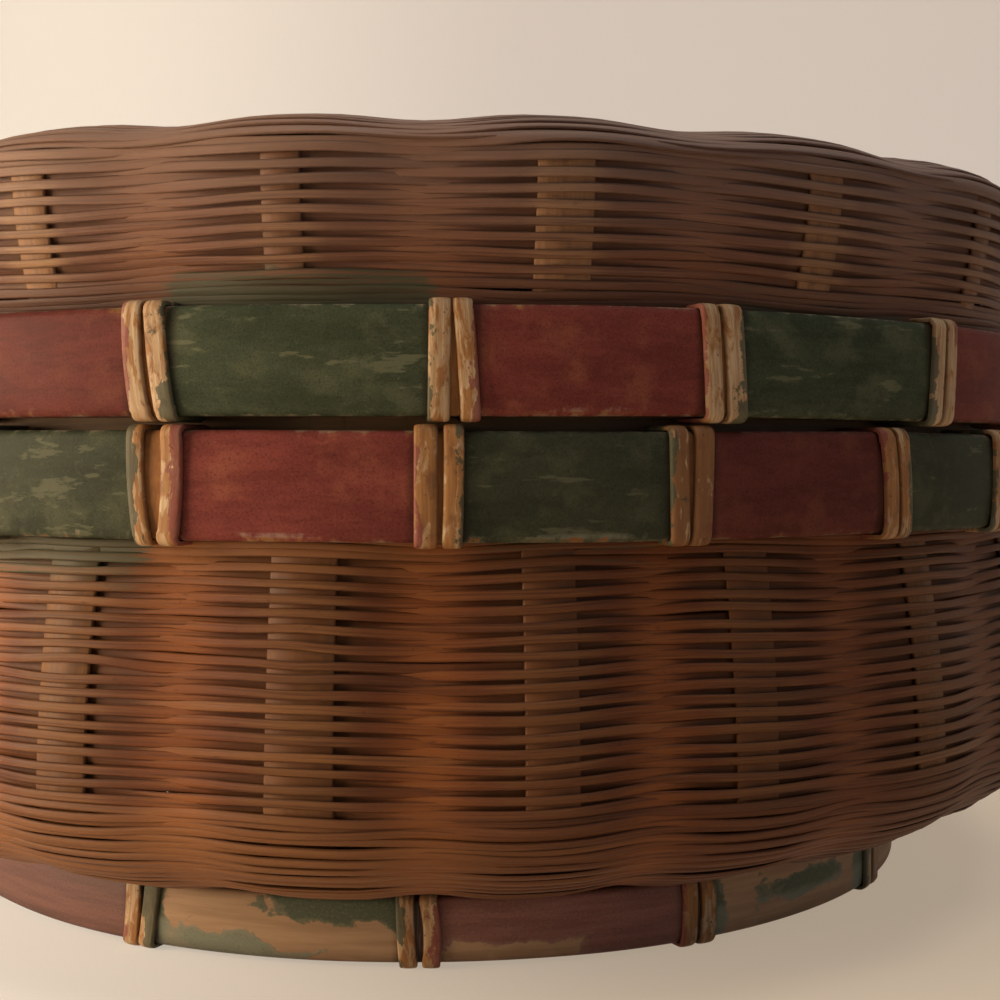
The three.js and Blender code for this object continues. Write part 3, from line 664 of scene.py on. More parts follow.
def weaveRows(skin, look, rows, spanPoints, sides):
    chance = np.random.default_rng(look["seed"] + int(rows[0]))
    count, step = look["stakes"], look["step"]
    rows = np.asarray(rows)[:, None]
    spot = count / 2 + np.arange(count * spanPoints + 1)[None, :] / spanPoints   # in stakes, from the back on
    angle = math.radians(look["turn"]) + spot * full / count
    trueAngle = settled(angle, hands[look["hand"]])
    length = strandLengths(skin, look, rows, angle, trueAngle, chance)
    radius, height, out, run = skin.at(length)
    past = length - look["clear"]
    nearest = np.round(spot)
    off = np.abs(spot - nearest)
    flat = np.clip((look["stakeWidth"] * 0.5 + 0.3) / (full * radius / count), 0.06, 0.34)
    passing = np.where(off < flat, 1.0, np.abs(np.cos(math.pi * (off - flat) / (1 - 2 * flat))) ** 1.8)
    front = np.where((nearest + rows) % 2 < 0.5, 1.0, -1.0)
    swing = 1 + 0.10 * chance.normal(size=rows.shape)
    inHoop = np.clip(past / 4.0, 0, 1)               # no room to sway between the hoops
    flatter = np.clip((np.abs(out[1]) - 0.25) / 0.35, 0, 1)         # the pull shows less past the turn
    dip = (look["dip"] + (look["turnDip"] - look["dip"]) * flatter) * np.sin(math.pi * spot) ** 2 * inHoop
    start, end, share = look["closeTurn"]
    wale = np.clip(1 - (past - look["closeRim"]) / 1.2, 0, 1)       # rows that stay before the stakes
    wale = wale + share * np.clip((past - start) / 1.5, 0, 1) * np.clip((end - past) / 4, 0, 1)
    close = np.clip((past - end) / 4, 0, 1) * 0.8    # past the turn they lie close
    front = front + (1 - front) * wale
    offset = strands["lift"] * swing * passing * front - dip * radius / rims["radius"]
    widest = strands["wide"] + (strands["closeWidth"] * step - strands["wide"]) * close
    widest = np.where(front > 0, widest, strands["behindWidth"] * step)
    widest = widest + (strands["waleWidth"] * step - widest) * wale
    spanTall = step * strands["spanWidth"]
    tall = spanTall + (widest - spanTall) * np.clip(passing, 0, 1) ** 1.3
    tall = tall * (1 + 0.07 * chance.normal(size=rows.shape))
    thick = strands["thick"] * (1 + 0.05 * chance.normal(size=rows.shape))
    tilt = 0.10 * chance.normal(size=rows.shape)
    tilt = tilt + 0.07 * np.sin(5 * angle + chance.uniform(0, full, rows.shape))
    ribbon = ribbonSection(sides)
    outward = 0.5 * thick[..., None] * ribbon[:, 0] + tilt[..., None] * 0.5 * tall[..., None] * ribbon[:, 1]
    outward = outward + offset[..., None]
    sideways = 0.5 * tall[..., None] * ribbon[:, 1]
    r = radius[..., None] + out[0][..., None] * outward + run[0][..., None] * sideways
    z = height[..., None] + out[1][..., None] * outward + run[1][..., None] * sideways
    points = polar(r, angle[..., None], z)

    def byStake(values, other):
        return np.array([values.get(stake, other) for stake in range(count)])

    def eased(values):                               # from one stake's value to the next one's
        return np.interp(spot % count, np.arange(count), byStake(values, 0.0), period=count)

    def onRings(values):
        return np.broadcast_to(values, radius.shape)[..., None] * np.ones(sides)

    onWall = np.clip((past - look["closeRim"]) / 3, 0, 1) * np.clip((start + 3 - past) / 5, 0, 1)
    rubbed = byStake(look["rubbed"], 0.5)[nearest.astype(int) % count]
    rubbed = rubbed * np.clip((1.9 * flat - off) / (0.9 * flat), 0, 1) * onWall
    clean, dull, most = look["dustAndSheenFrom"]
    dustAndSheen = np.clip(eased(look["dustAndSheen"]) + most * np.clip((past - clean) / (dull - clean), 0, 1), 0, 1)
    stain = look["brush"](np.degrees(trueAngle)) * (1 - np.clip(past / look["stainReach"], 0, 1))
    notes = {
        "row": onRings(rows), "along": onRings(radius * angle), "span": onRings(np.clip(off / 0.5, 0, 1)),
        "side": np.broadcast_to(ribbon[:, 1], points.shape[:-1]), "stain": onRings(stain),
        "rubbed": onRings(rubbed), "dustAndSheen": onRings(dustAndSheen),
        "glow": onRings(byStake(look["spanWarmthAndLight"], 0.5)[np.floor(spot).astype(int) % count]),
        "lightAndDark": onRings(eased(look["lightAndDark"]) * np.interp(past, *look["lightAndDarkAlong"])),
        # deep: how far back the strand lies in a slot, for the painted bounce light there
        "deep": np.clip(-(passing * front)[..., None] * np.sign(ribbon[:, 0]), 0, 1),
    }
    rings = points.shape[1]
    places = np.arange(len(rows))[:, None, None] * rings * sides
    faces = [(block + places).reshape(-1, block.shape[1])
             for block in (loftFaces(rings, sides), capFaces(rings, sides))]
    return {"points": points.reshape(-1, 3), "faces": faces, "notes": notes}


def weavePiece(name, look, bodies):
    points, faces, notes = gather(bodies)
    makePiece(name, settle(points, hands[look["hand"]]), faces, look, notes, 82)
    print(name, len(faces[0]), "quads")


def weave(look, skin):
    inside = int(look["clear"] / look["step"]) - 1
    total = int((skin.length[-1] - look["start"]) / look["step"])
    turn = inside + look["wallRows"]
    flat = min(total, turn + look["turnRows"])
    hidden = weaveRows(skin, look, np.arange(0, inside), 6, 6)
    wall = weaveRows(skin, look, np.arange(inside, turn), 12, 8)
    weavePiece(look["name"] + "_wall", look, [hidden, wall])
    weavePiece(look["name"] + "_turn", look, [weaveRows(skin, look, np.arange(turn, flat), 10, 6)])
    weavePiece(look["name"] + "_flat", look, [weaveRows(skin, look, np.arange(flat, total + 1), 8, 6)])


lidMiddle, bowlMiddle = lidSkin(), bowlSkin()
weave(lidWeave, lidMiddle)
weave(bowlWeave, bowlMiddle)


# Flat strips and canes swept along a path: where, which way the face looks, and the section there
def sweep(path, face, section):
    across = unit(np.cross(unit(np.gradient(path, axis=0)), face))
    section = np.broadcast_to(section, (len(path), *section.shape[-2:]))
    rings = path[:, None] + across[:, None] * section[..., :1] + face[:, None] * section[..., 1:]
    sides = rings.shape[1]
    faces = [loftFaces(len(path), sides), capFaces(len(path), sides)]
    steps = np.linalg.norm(np.diff(path, axis=0), axis=1)
    along = np.r_[0, np.cumsum(steps)][:, None] + np.zeros(sides)
    wide = np.abs(section[..., 0]).max(1, keepdims=True)
    return {"points": rings.reshape(-1, 3), "faces": faces,
            "notes": {"along": along, "across": section[..., 0] / wide}}


def stripSection(width, thick, soft=0.28):           # flat strip with softened edges, slightly crowned
    half, deep = width / 2, thick / 2
    edge = half - soft
    return np.array([
        [half, -deep * 0.35], [half, deep * 0.35], [edge, deep], [0, deep * 1.12], [-edge, deep],
        [-half, deep * 0.35], [-half, -deep * 0.35], [-edge, -deep], [0, -deep * 1.12], [edge, -deep],
    ])


# Stakes: strips that cross in a lattice at the middle, then fan out and run up the wall to the rim.
# widths and tan are by the strip's number; tan is how far it is rubbed to its bare colour
stakes = {
    "thick": 0.8, "tip": 4.6, "lattice": 5.6, "over": 0.46, "plainTan": 0.4,
    "lid": {"body": "lid", "prefix": "lid_stake_", "across": 4, "along": 5, "turn": 0.3, "width": 5.8,
            "rim": lidHoopHigh, "faceUp": 1.0, "seed": 77, "firstStrip": 0,
            "widths": {1: 6.0, 2: 5.8, 3: 8.2, 4: 6.4}, "tan": {1: 0.8, 2: 0.3, 3: 0.7, 4: 0.6}},
    "bowl": {"body": "basket", "prefix": "body_stake_", "across": 5, "along": 5, "turn": 8.6, "width": 8.0,
             "rim": bodyHoopLow, "faceUp": -1.0, "seed": 78, "firstStrip": bamboos["bowlStrips"],
             "widths": {1: 9.2, 2: 10.2, 3: 8.6, 4: 7.8, 5: 6.9},
             "tan": {1: 0.55, 2: 0.35, 3: 0.15, 4: 0.12, 5: 0.6}},
}


def stakePath(skin, heading, offset, endAngles, phase, half, faceUp, weaveLook):
    arm = np.linspace(skin.length[-1] - 0.5, 0.9, 90)
    radius, height, out = skin.at(arm)[:3]
    start, end, share = weaveLook["closeTurn"]
    past = arm - weaveLook["clear"]                  # on the turn the rows lie in front of the stake
    sink = share * np.clip((past - start) / 3, 0, 1) * np.clip((end - past) / 4, 0, 1)
    radius, height = radius - out[0] * sink, height - out[1] * sink
    front, back = (polar(radius, angle, height) for angle in endAngles)
    frontFace, backFace = (polar(out[0], angle, out[1]) for angle in endAngles)
    cross = np.linspace(-half, half, 61)
    ahead = np.array([math.sin(heading), -math.cos(heading), 0])
    beside = np.array([math.cos(heading), math.sin(heading), 0])
    over = stakes["over"] * np.cos(math.pi * (cross / stakes["lattice"] + phase))
    middle = ahead * cross[:, None] + beside * offset
    middle[:, 2] = height[0] + over * (np.abs(cross) < half - 1)
    up = np.zeros_like(middle)
    up[:, 2] = faceUp
    path = np.concatenate([back[::-1], middle, front])
    face = np.concatenate([backFace[::-1], up, frontFace])
    centre = slice(len(arm) - 14, len(arm) + len(cross) + 14)
    for step in range(30):                           # eases the bend where the arm leaves the lattice
        eased = path.copy()
        eased[1:-1, :2] = (path[:-2, :2] + 2 * path[1:-1, :2] + path[2:, :2]) / 4
        path[centre] = eased[centre]
    return path, unit(face)


def makeStake(look, number, path, face, weaveLook, chance):
    radius = np.hypot(path[:, 0], path[:, 1])
    spread = np.clip((radius - weaveLook["hole"]) / 60, 0, 1)
    broad = look["widths"].get(number, look["width"] * (1 + 0.07 * chance.normal()))
    width = stakes["tip"] + (broad - stakes["tip"]) * spread
    far = np.linspace(0, 1, len(path))
    width = width * (1 + 0.03 * np.sin(far * 19 + chance.uniform(0, full)))
    section = np.stack([stripSection(wide, stakes["thick"]) for wide in width])
    body = sweep(path, face, section)
    points = settle(body["points"], hands[weaveLook["hand"]])
    past = (points[:, 2] - look["rim"]) * -weaveLook["up"] / weaveLook["stainReach"]
    azimuth = np.degrees(np.arctan2(points[:, 0], -points[:, 1]))
    notes = body["notes"]
    notes["strip"] = np.full(len(points), number + look["firstStrip"])
    notes["tan"] = np.full(len(points), look["tan"].get(number, stakes["plainTan"]))
    notes["stain"] = weaveLook["brush"](azimuth) * (1 - np.clip(past, 0, 1))
    name = look["prefix"] + str(number)
    part = {"body": look["body"], "slot": "stake_bamboo", "nodes": [name]}
    makePiece(name + "_strip", points, body["faces"], part, notes, 60)


def makeStakes(key, skin, weaveLook):
    look = stakes[key]
    lattice = stakes["lattice"]
    steps = full / (2 * (look["across"] + look["along"]))
    chance = np.random.default_rng(look["seed"])
    number = 0
    layers = ((look["across"], look["along"], 0.0), (look["along"], look["across"], 90.0))
    for level, (strips, crossed, side) in enumerate(layers):
        half = (crossed - 1) / 2 * lattice + lattice
        heading = math.radians(look["turn"] + side)
        for strip in range(strips):
            number += 1
            place = strip - (strips - 1) / 2
            ends = (heading + place * steps, heading + math.pi - place * steps)
            phase = strip + (0 if crossed % 2 else 0.5) + level
            offset = place * lattice
            path, face = stakePath(skin, heading, offset, ends, phase, half, look["faceUp"], weaveLook)
            makeStake(look, number, path, face, weaveLook, chance)
    print(key, "stakes:", number)


makeStakes("lid", lidMiddle, lidWeave)
makeStakes("bowl", bowlMiddle, bowlWeave)


# Hoops: split bamboo bent round, scarfed at the back
def bandSection(outer, inner, low, high, edge, bulge):
    turn = np.linspace(-math.pi / 2, 0, 5)
    lower = np.column_stack([outer - edge + edge * np.cos(turn), low + edge + edge * np.sin(turn)])
    upper = lower[::-1] * [1, -1] + [0, low + high]
    middle = np.column_stack([np.full(5, outer), np.linspace(low + edge, high - edge, 7)[1:-1]])
    soft = min(0.4, edge)
    back = np.array([[inner + soft, high], [inner, high - soft], [inner, (low + high) / 2],
                     [inner, low + soft], [inner + soft, low]])
    section = np.concatenate([lower, middle, upper, back])
    across = (section[:, 1] - (low + high) / 2) / ((high - low) / 2)
    outerSide = section[:, 0] > (outer + inner) / 2
    section[:, 0] -= np.where(outerSide, bulge * across ** 2, 0)
    return section, across


def ringNote(values, sides):                         # one value for each ring, the same all round it
    return np.repeat(np.asarray(values, float)[:, None], sides, axis=1)


def bandBody(look):
    outer, columns, drift = look["outer"], look["columns"], look["drift"]
    shape = (look[key] for key in ("outer", "inner", "low", "high", "edge", "bulge"))
    section, across = bandSection(*shape)
    seam = math.radians(look["seam"])
    gap = 0.3 / outer                                # half the scarf's opening
    angle = np.linspace(seam + gap, seam + full - gap, columns)
    slant = (section[:, 0] - outer) * look["slope"] / outer
    ease = np.linspace(0, 1, columns)[:, None]
    angles = angle[:, None] + slant[None, :] * (np.exp(-ease * 40) + np.exp((ease - 1) * 40))
    shift = wander(angle, look["seed"], (2, 3, 5, 8), drift)[:, None]
    lift = wander(angle, look["seed"] + 1, (3, 5, 7, 11), drift)[:, None]
    ripple = wander(angle, look["seed"] + 2, (17, 23, 31), drift * 0.4)[:, None]
    radius = section[None, :, 0] + shift + ripple * (1 - across ** 2)
    height = section[None, :, 1] + lift + ripple * 0.5 * across
    sides = len(section)
    faces = [loftFaces(columns, sides), capFaces(columns, sides)]
    notes = {"along": ringNote(angle * outer, sides), "across": np.broadcast_to(across, radius.shape),
             "strip": np.full(radius.shape, look["seed"])}
    points = polar(radius, angles, height).reshape(-1, 3)
    return {"points": points, "faces": faces, "notes": notes}, angle, across


def bandPiece(look, body):
    points = settle(body["points"], hands[look["hand"]])
    makePiece(look["name"], points, body["faces"], look, body["notes"], 50)


def paintedBand(look):
    body, angle, across = bandBody(look)
    ties, sides = look["ties"], len(across)
    step = 360 / ties
    spot = (np.degrees(angle) - look["turn"]) / step
    segment = np.floor(spot)
    within = spot - segment
    which = (segment % ties).astype(int)
    fromTie = np.minimum(within, 1 - within) * math.radians(step) * look["outer"]
    chance = np.random.default_rng(look["seed"] + 5).uniform(size=ties)
    tones = np.array([look["tones"].get(number, look["tone"]) for number in range(ties)])
    azimuth = np.degrees(settled(angle, hands[look["hand"]]))
    scuff = ringNote(np.resize(look["loss"], ties)[which], sides)
    for place, level, wide, tall, amount in look["scuffs"]:
        beside = np.exp(-((azimuth - place) / wide) ** 2)[:, None]
        scuff = scuff + amount * beside * np.exp(-((across - level) / tall) ** 2)
    body["notes"] = {
        "around": ringNote(angle * look["outer"], sides), "up": np.broadcast_to(across, scuff.shape),
        "paint": ringNote((segment + look["firstGreen"]) % 2 < 0.5, sides), "scuff": scuff,
        "fromTie": ringNote(fromTie, sides), "chance": ringNote(chance[which], sides),
        "tone": ringNote(tones[which], sides),
    }
    bandPiece(look, body)


# tones and loss, how bright the paint is and how much is gone, are by segment from the front; the tones are
# partly the paint's own shade and partly painted shade. scuffs: azimuth, level from -1 at the lower edge to 1
# at the upper, half width in degrees and half height, amount; by the lower edge a scuff also sets where the
# painted highlight shows
rimHoop = {
    "slot": "painted_hoop", "outer": rims["radius"], "inner": rims["radius"] - rims["hoop"],
    "edge": rims["edge"], "bulge": 0.45, "columns": 540, "slope": 4.0, "drift": 0.07, "loss": [0.0],
}
lidHoop = {
    **rimHoop, "name": "lid_rim_band", "body": "lid", "nodes": ["lid_rim_hoop"], "hand": "lidTies",
    "low": lidHoopLow, "high": lidHoopHigh, "seam": 180.3, "seed": 301,
    "ties": rims["lidTies"], "turn": rims["lidTurn"], "firstGreen": 1,
    "tone": 0.92, "tones": {16: 0.62, 17: 0.98, 0: 0.93, 1: 0.98, 2: 0.78},
    "scuffs": [(-3.6, -0.05, 2.6, 0.24, 0.62), (-21, 0.6, 1.2, 0.6, 0.5), (5.5, 0.8, 2.5, 0.4, 0.35),
               (10, -0.9, 5, 0.2, 0.3), (30, -0.8, 3, 0.3, 0.3), (-30, -0.9, 5, 0.2, 0.3),
               (120, 0.2, 3, 0.5, 0.4), (-110, -0.3, 3, 0.5, 0.4)],
}
bodyHoop = {
    **rimHoop, "name": "bowl_rim_band", "body": "basket", "nodes": ["body_rim_hoop"], "hand": "bodyTies",
    "low": bodyHoopLow, "high": bodyHoopHigh, "seam": 179.6, "seed": 401,
    "ties": rims["bodyTies"], "turn": rims["bodyTurn"], "firstGreen": 0,
    "tone": 0.75, "tones": {18: 0.71, 19: 0.93, 0: 0.68, 1: 0.54, 2: 0.70},
    "scuffs": [(9, -0.9, 5, 0.2, 0.42), (-27, -0.1, 5, 0.6, 0.3), (-25, -0.86, 4, 0.14, 0.22),
               (-10.5, -0.9, 3, 0.15, 0.5), (25, -0.9, 4, 0.2, 0.3),
               (-140, 0.2, 3, 0.5, 0.4), (100, -0.3, 3, 0.5, 0.4)],
}
foot = {"rise": 1.0, "radius": 94.2, "hoop": 2.8, "skirt": 2.4, "inner": 2.0, "slack": 0.6,
        "ties": 12, "turn": -1.5}
footSkirtOut = foot["radius"] - foot["hoop"] - foot["slack"]
footInnerOut = footSkirtOut - foot["skirt"] - foot["slack"]
footHoop = {
    "name": "foot_band", "body": "basket", "slot": "worn_hoop", "nodes": ["foot_hoop"], "hand": "footTies",
    "outer": foot["radius"], "inner": foot["radius"] - foot["hoop"],
    "low": footHoopLow, "high": footHoopHigh + foot["rise"], "edge": 0.9, "bulge": 0.35,
    "columns": 540, "seam": 178.5, "slope": 4.0, "drift": 0.05, "seed": 501,
    "ties": foot["ties"], "turn": foot["turn"], "firstGreen": 1,
    "tone": 1.0, "tones": {10: 0.50, 11: 0.76, 0: 0.91},
    "loss": [0.16, 0.46, 0.52, 0.24, 0.45, 0.22, 0.42, 0.2, 0.46, 0.24, 0.10, 0.46],
    "scuffs": [(-20, -0.75, 9, 0.55, -0.33), (-7, 0.75, 8, 0.5, -0.46), (-28, 0, 1.6, 1.2, -0.4),
               (-2.6, 0, 1.3, 1.2, -0.25), (8, -0.85, 7, 0.45, 0.42), (42, 0.15, 7, 0.42, -0.40),
               (28, 0, 1.6, 1.2, -0.4), (53, 0, 1.6, 1.2, -0.4)],
}
paintedHoops = [lidHoop, bodyHoop, footHoop]
for hoop in paintedHoops:
    paintedBand(hoop)
plainHoop = {"slot": "plain_bamboo", "edge": 0.7, "bulge": 0.1, "columns": 300, "drift": 0.05, "slope": 3.0}
plainHoops = [
    {"name": "lid_inner_band", "body": "lid", "nodes": ["lid_inner_hoop"], "hand": "lidTies",
     "outer": innerHoopOut, "inner": innerHoopIn, "low": lidHoopLow, "high": lidHoopHigh,
     "seam": 180.3, "seed": 601},
    {"name": "bowl_inner_band", "body": "basket", "nodes": ["body_inner_hoop"], "hand": "bodyTies",
     "outer": innerHoopOut, "inner": innerHoopIn, "low": bodyHoopLow, "high": bodyHoopHigh,
     "seam": 179.6, "seed": 611},
    {"name": "bowl_collar_band", "body": "basket", "nodes": ["body_collar"], "hand": "bodyTies",
     "outer": 109.8, "inner": 108.6, "low": collarLow, "high": collarHigh,
     "seam": 179.6, "seed": 621, "edge": 0.5},
    {"name": "foot_inner_band", "body": "basket", "nodes": ["foot_inner_hoop"], "hand": "footTies",
     "outer": footInnerOut, "inner": footInnerOut - foot["inner"], "low": footHoopLow, "high": footHoopHigh,
     "seam": 178.5, "seed": 631},
    {"name": "foot_skirt_band", "body": "basket", "nodes": ["body_weave"], "hand": "footTies",
     "outer": footSkirtOut, "inner": footSkirtOut - foot["skirt"], "low": 1.1, "high": 11.6,
     "seam": 178.5, "seed": 641, "edge": 0.4},
]
for hoop in plainHoops:
    look = {**plainHoop, **hoop}
    bandPiece(look, bandBody(look)[0])
print("hoops bent:", len(paintedHoops) + len(plainHoops))


# Lashings: split cane wound twice round the rim at each tie, then behind the inner hoop to the next
cane = {"wide": 3.0, "thick": 0.72, "pitch": 3.6, "corner": 0.9, "bend": 2.2, "clear": 1.2, "sag": 0.25,
        "slack": 0.1, "proud": 0.05}


def caneSection(wide, thick):                        # half round, flat side on the hoop
    x = np.array([1, 0.99, 0.93, 0.78, 0.42, 0, -0.42, -0.78, -0.93, -0.99, -1])
    z = np.array([0, 0.45, 0.74, 0.90, 0.98, 1, 0.98, 0.90, 0.74, 0.45, 0])
    return np.column_stack([0.5 * wide * x, thick * z])


def tieLoop(look, topLeft, bottomLeft, bow, lastBottom):
    # one turn seen from the end of the tie: up the inside, over the top, down the front, back underneath
    inner, outer, low, high = look["inner"], look["outer"], look["low"], look["high"]
    corner = cane["corner"]
    rows = []

    def arc(middle, start, end, shift):
        for turn in np.linspace(math.radians(start), math.radians(end), 5):
            rows.append((middle[0] + corner * math.cos(turn), shift, middle[1] + corner * math.sin(turn),
                         math.cos(turn), math.sin(turn)))

    if lastBottom is not None:
        for share in (0.12, 0.3, 0.5, 0.7, 0.88):
            shift = lastBottom + (topLeft - lastBottom) * share
            rows.append((inner, shift, low + (high - low) * share, -1, 0))
    arc((inner + corner, high - corner), 180, 90, topLeft)
    arc((outer - corner, high - corner), 90, 0, topLeft)
    for share in np.linspace(0.92, 0.08, 9):
        level = 2 * share - 1
        shift = bottomLeft + (topLeft - bottomLeft) * share + bow * (1 - level ** 2)
        rows.append((outer, shift, low + (high - low) * share, 1, 0))
    arc((outer - corner, low + corner), 0, -90, bottomLeft)
    arc((inner + corner, low + corner), -90, -180, bottomLeft)
    return rows


def tiePath(look, tie):
    lean = look["leans"].get(tie)
    if lean is None:
        chance = np.random.default_rng(look["seed"] + tie)
        lean = tuple(chance.normal(size=4) * 0.32) + (abs(chance.normal()) * 0.25,)
    leftLean, rightLean, leftBow, rightBow, spread = lean
    left, right = -cane["pitch"] / 2 - spread / 2, cane["pitch"] / 2 + spread / 2
    middle = (look["low"] + look["high"]) / 2
    bend = cane["bend"]
    rows = []
    start = -cane["pitch"] - bend
    for turn in np.linspace(0, math.pi / 2, 5):      # the run turns up towards the first leg
        ahead, rise = bend * math.sin(turn), bend * (1 - math.cos(turn))
        rows.append((look["inner"], start + ahead, middle + rise, -1, 0))
    rows += tieLoop(look, left + leftLean, left - leftLean, leftBow, None)
    rows += tieLoop(look, right + rightLean, right - rightLean, rightBow, left - leftLean)
    for turn in np.linspace(math.pi / 2, 0, 5):      # and down from the second
        ahead, rise = bend * math.sin(turn), bend * (1 - math.cos(turn))
        rows.append((look["inner"], -start - ahead, middle - rise, -1, 0))
    return np.array(rows)


def lashing(look):
    paths, faces, shifts, fronts, ids = [], [], [], [], []
    ties, points = look["ties"], look["runPoints"]
    step = full / ties
    apart = (cane["pitch"] + cane["bend"] + cane["clear"]) / look["inner"]
    sag = cane["sag"] * np.sin(np.linspace(0, math.pi, points))
    up = np.array([0, 0, 1.0])
    for tie in range(ties):
        angle = math.radians(look["turn"]) + tie * step
        out = np.array([math.sin(angle), -math.cos(angle), 0])
        side = np.array([math.cos(angle), math.sin(angle), 0])
        rows = tiePath(look, tie)
        run = np.linspace(angle + apart, angle + step - apart, points)
        level = (look["low"] + look["high"]) / 2 - sag
        paths.append(out * rows[:, :1] + side * rows[:, 1:2] + up * rows[:, 2:3])
        paths.append(polar(np.full(points, look["inner"]), run, level))
        faces.append(out * rows[:, 3:4] + up * rows[:, 4:5])
        faces.append(polar(np.full(points, -1.0), run, np.zeros(points)))
        shifts += [rows[:, 1], np.zeros(points)]
        fronts += [(rows[:, 3] > 0.2) | (np.abs(rows[:, 4]) > 0.9), np.zeros(points)]
        ids.append(np.full(len(rows) + points, tie))
    section = caneSection(cane["wide"], look["thick"])
    sides = len(section)
    path, face = np.concatenate(paths), unit(np.concatenate(faces))
    body = sweep(path, face, section)                # its two ends meet behind the inner hoop
    tie = np.concatenate(ids)
    pairHalf = (cane["pitch"] + cane["wide"]) / 2
    edge = (np.concatenate(shifts)[:, None] - section[None, :, 0]) / pairHalf
    for which, (leftMore, rightMore) in look["lapped"].items():
        edge = edge + (tie == which)[:, None] * np.where(edge > 0, rightMore, -leftMore)
    age = np.random.default_rng(look["seed"] + 9).uniform(size=ties) * 0.5 + look["age"]
    for which, value in look["ages"].items():
        age[which] = value
    notes = body["notes"]
    notes["edge"] = edge
    notes["tie"] = ringNote(tie + look["seed"], sides)
    notes["face"] = ringNote(np.concatenate(fronts), sides)
    notes["leftGreen"] = ringNote((tie - 1 + look["firstGreen"]) % 2 < 0.5, sides)
    notes["old"] = ringNote(np.clip(age, 0, 1)[tie], sides)
    bandPiece(look, body)


# By tie from the front one. ages: how old the cane looks; lapped: how far paint laps onto it at left and
# right; leans: left and right lean, left and right bow, how far the pair stands apart, in mm
rimCane = {
    "slot": "binding_cane", "thick": cane["thick"],
    "inner": innerHoopIn - cane["slack"], "outer": rims["radius"] + cane["proud"],
}
lidLashing = {
    **rimCane, "name": "lid_rim_cane", "body": "lid", "nodes": ["lid_lashing"], "hand": "lidTies",
    "low": lidHoopLow - cane["slack"], "high": lidHoopHigh + cane["slack"],
    "ties": rims["lidTies"], "turn": rims["lidTurn"], "firstGreen": 1,
    "seed": 701, "runPoints": 16, "age": 0.05, "ages": {17: 0.40, 0: 0.5, 1: 0.4, 2: 0.3},
    "lapped": {17: (-0.1, 0.12), 0: (-0.1, 0.0), 1: (0.05, 0.1)},
    "leans": {17: (-0.7, -0.9, -0.5, -0.3, 0.0), 0: (0.1, -0.6, 0.0, 0.1, 0.2),
              1: (-0.5, -0.5, 0.1, 0.1, 0.0), 2: (0.5, 0.4, 0.1, 0.2, 0.1)},
}
bodyLashing = {
    **rimCane, "name": "bowl_rim_cane", "body": "basket", "nodes": ["body_lashing"], "hand": "bodyTies",
    "low": bodyHoopLow - cane["slack"], "high": bodyHoopHigh + cane["slack"],
    "ties": rims["bodyTies"], "turn": rims["bodyTurn"], "firstGreen": 0,
    "seed": 801, "runPoints": 14, "age": 0.5, "ages": {19: 0.65, 0: 0.78, 1: 0.98},
    "lapped": {0: (-0.15, -0.05), 1: (-0.1, -0.1)},
    "leans": {19: (-0.6, 0.3, -0.5, 0.4, 1.2), 0: (0.0, 0.1, 0.0, 0.1, 0.1),
              1: (-0.2, 0.2, 0.0, 0.1, 0.1), 2: (-0.6, -0.6, 0.6, 0.6, 0.1)},
}
footLashing = {
    "name": "foot_cane", "body": "basket", "slot": "binding_cane", "nodes": ["foot_lashing"],
    "hand": "footTies",
    "inner": footInnerOut - foot["inner"] - cane["slack"], "outer": foot["radius"] + cane["proud"],
    "low": footHoopLow - cane["slack"], "high": footHoopHigh + foot["rise"] * 0.9, "thick": 0.65,
    "ties": foot["ties"], "turn": foot["turn"], "firstGreen": 1,
    "seed": 901, "runPoints": 18, "age": 0.35, "ages": {11: 0.5, 0: 0.5},
    "lapped": {11: (-0.3, 0.8)}, "leans": {},
}
for look in (lidLashing, bodyLashing, footLashing):
    lashing(look)
print("lashings wound")


# Table cloth, in metres: colours, where they fade, how much it glows to the camera, and its sizes. The
# colours paint light on the left and shade at the front right
cloth = {
    "far": (0.74, 0.65, 0.575), "near": (0.69, 0.56, 0.425), "left": (1.0, 0.89, 0.76),
    "farFade": (0.10, -0.30), "nearFade": (0.05, -0.10), "depthFade": (0.45, 0.0), "glow": 0.55,
    "half": 6.0, "front": -6.0, "flat": 0.4, "back": 0.9, "bend": 0.45, "top": 2.2,
}


def clothFinish():                                   # pale to the camera, with the basket's shadow left in
    make = Finish("table_cloth", **{"Specular IOR Level": 0.1, "Roughness": 0.9})
    where = make.node("ShaderNodeTexCoord", out="Object")
    side, back = (make.node("ShaderNodeSeparateXYZ", None, {0: where}, out) for out in (0, 1))
    # painted light, lighter to the left where the window light falls, and painted shade, darker at the front
    # right
    far = make.blend(make.ease(side, *cloth["farFade"]), cloth["far"], cloth["left"])
    near = make.blend(make.ease(side, *cloth["nearFade"]), cloth["near"], cloth["left"])
    colour = make.blend(make.ease(back, *cloth["depthFade"]), far, near)
    make.feed(make.shader.inputs["Base Color"], colour)
    make.feed(make.shader.inputs["Normal"], make.bump(make.noise(where, 900, 2), 0.2, 0.15))
    rays = ("Is Camera Ray", "Is Glossy Ray", "Is Transmission Ray")
    straight, mirrored, through = (make.node("ShaderNodeLightPath", out=ray) for ray in rays)
    seen = straight.most(mirrored).most(through) * cloth["glow"]
    lit = Link(make, make.shader.outputs[0])
    glow = make.node("ShaderNodeEmission", None, {"Color": colour, "Strength": 1.0})
    mixed = make.node("ShaderNodeMixShader", None, {0: seen, 1: lit, 2: glow})
    make.feed(make.output.inputs["Surface"], mixed)
    return make.material


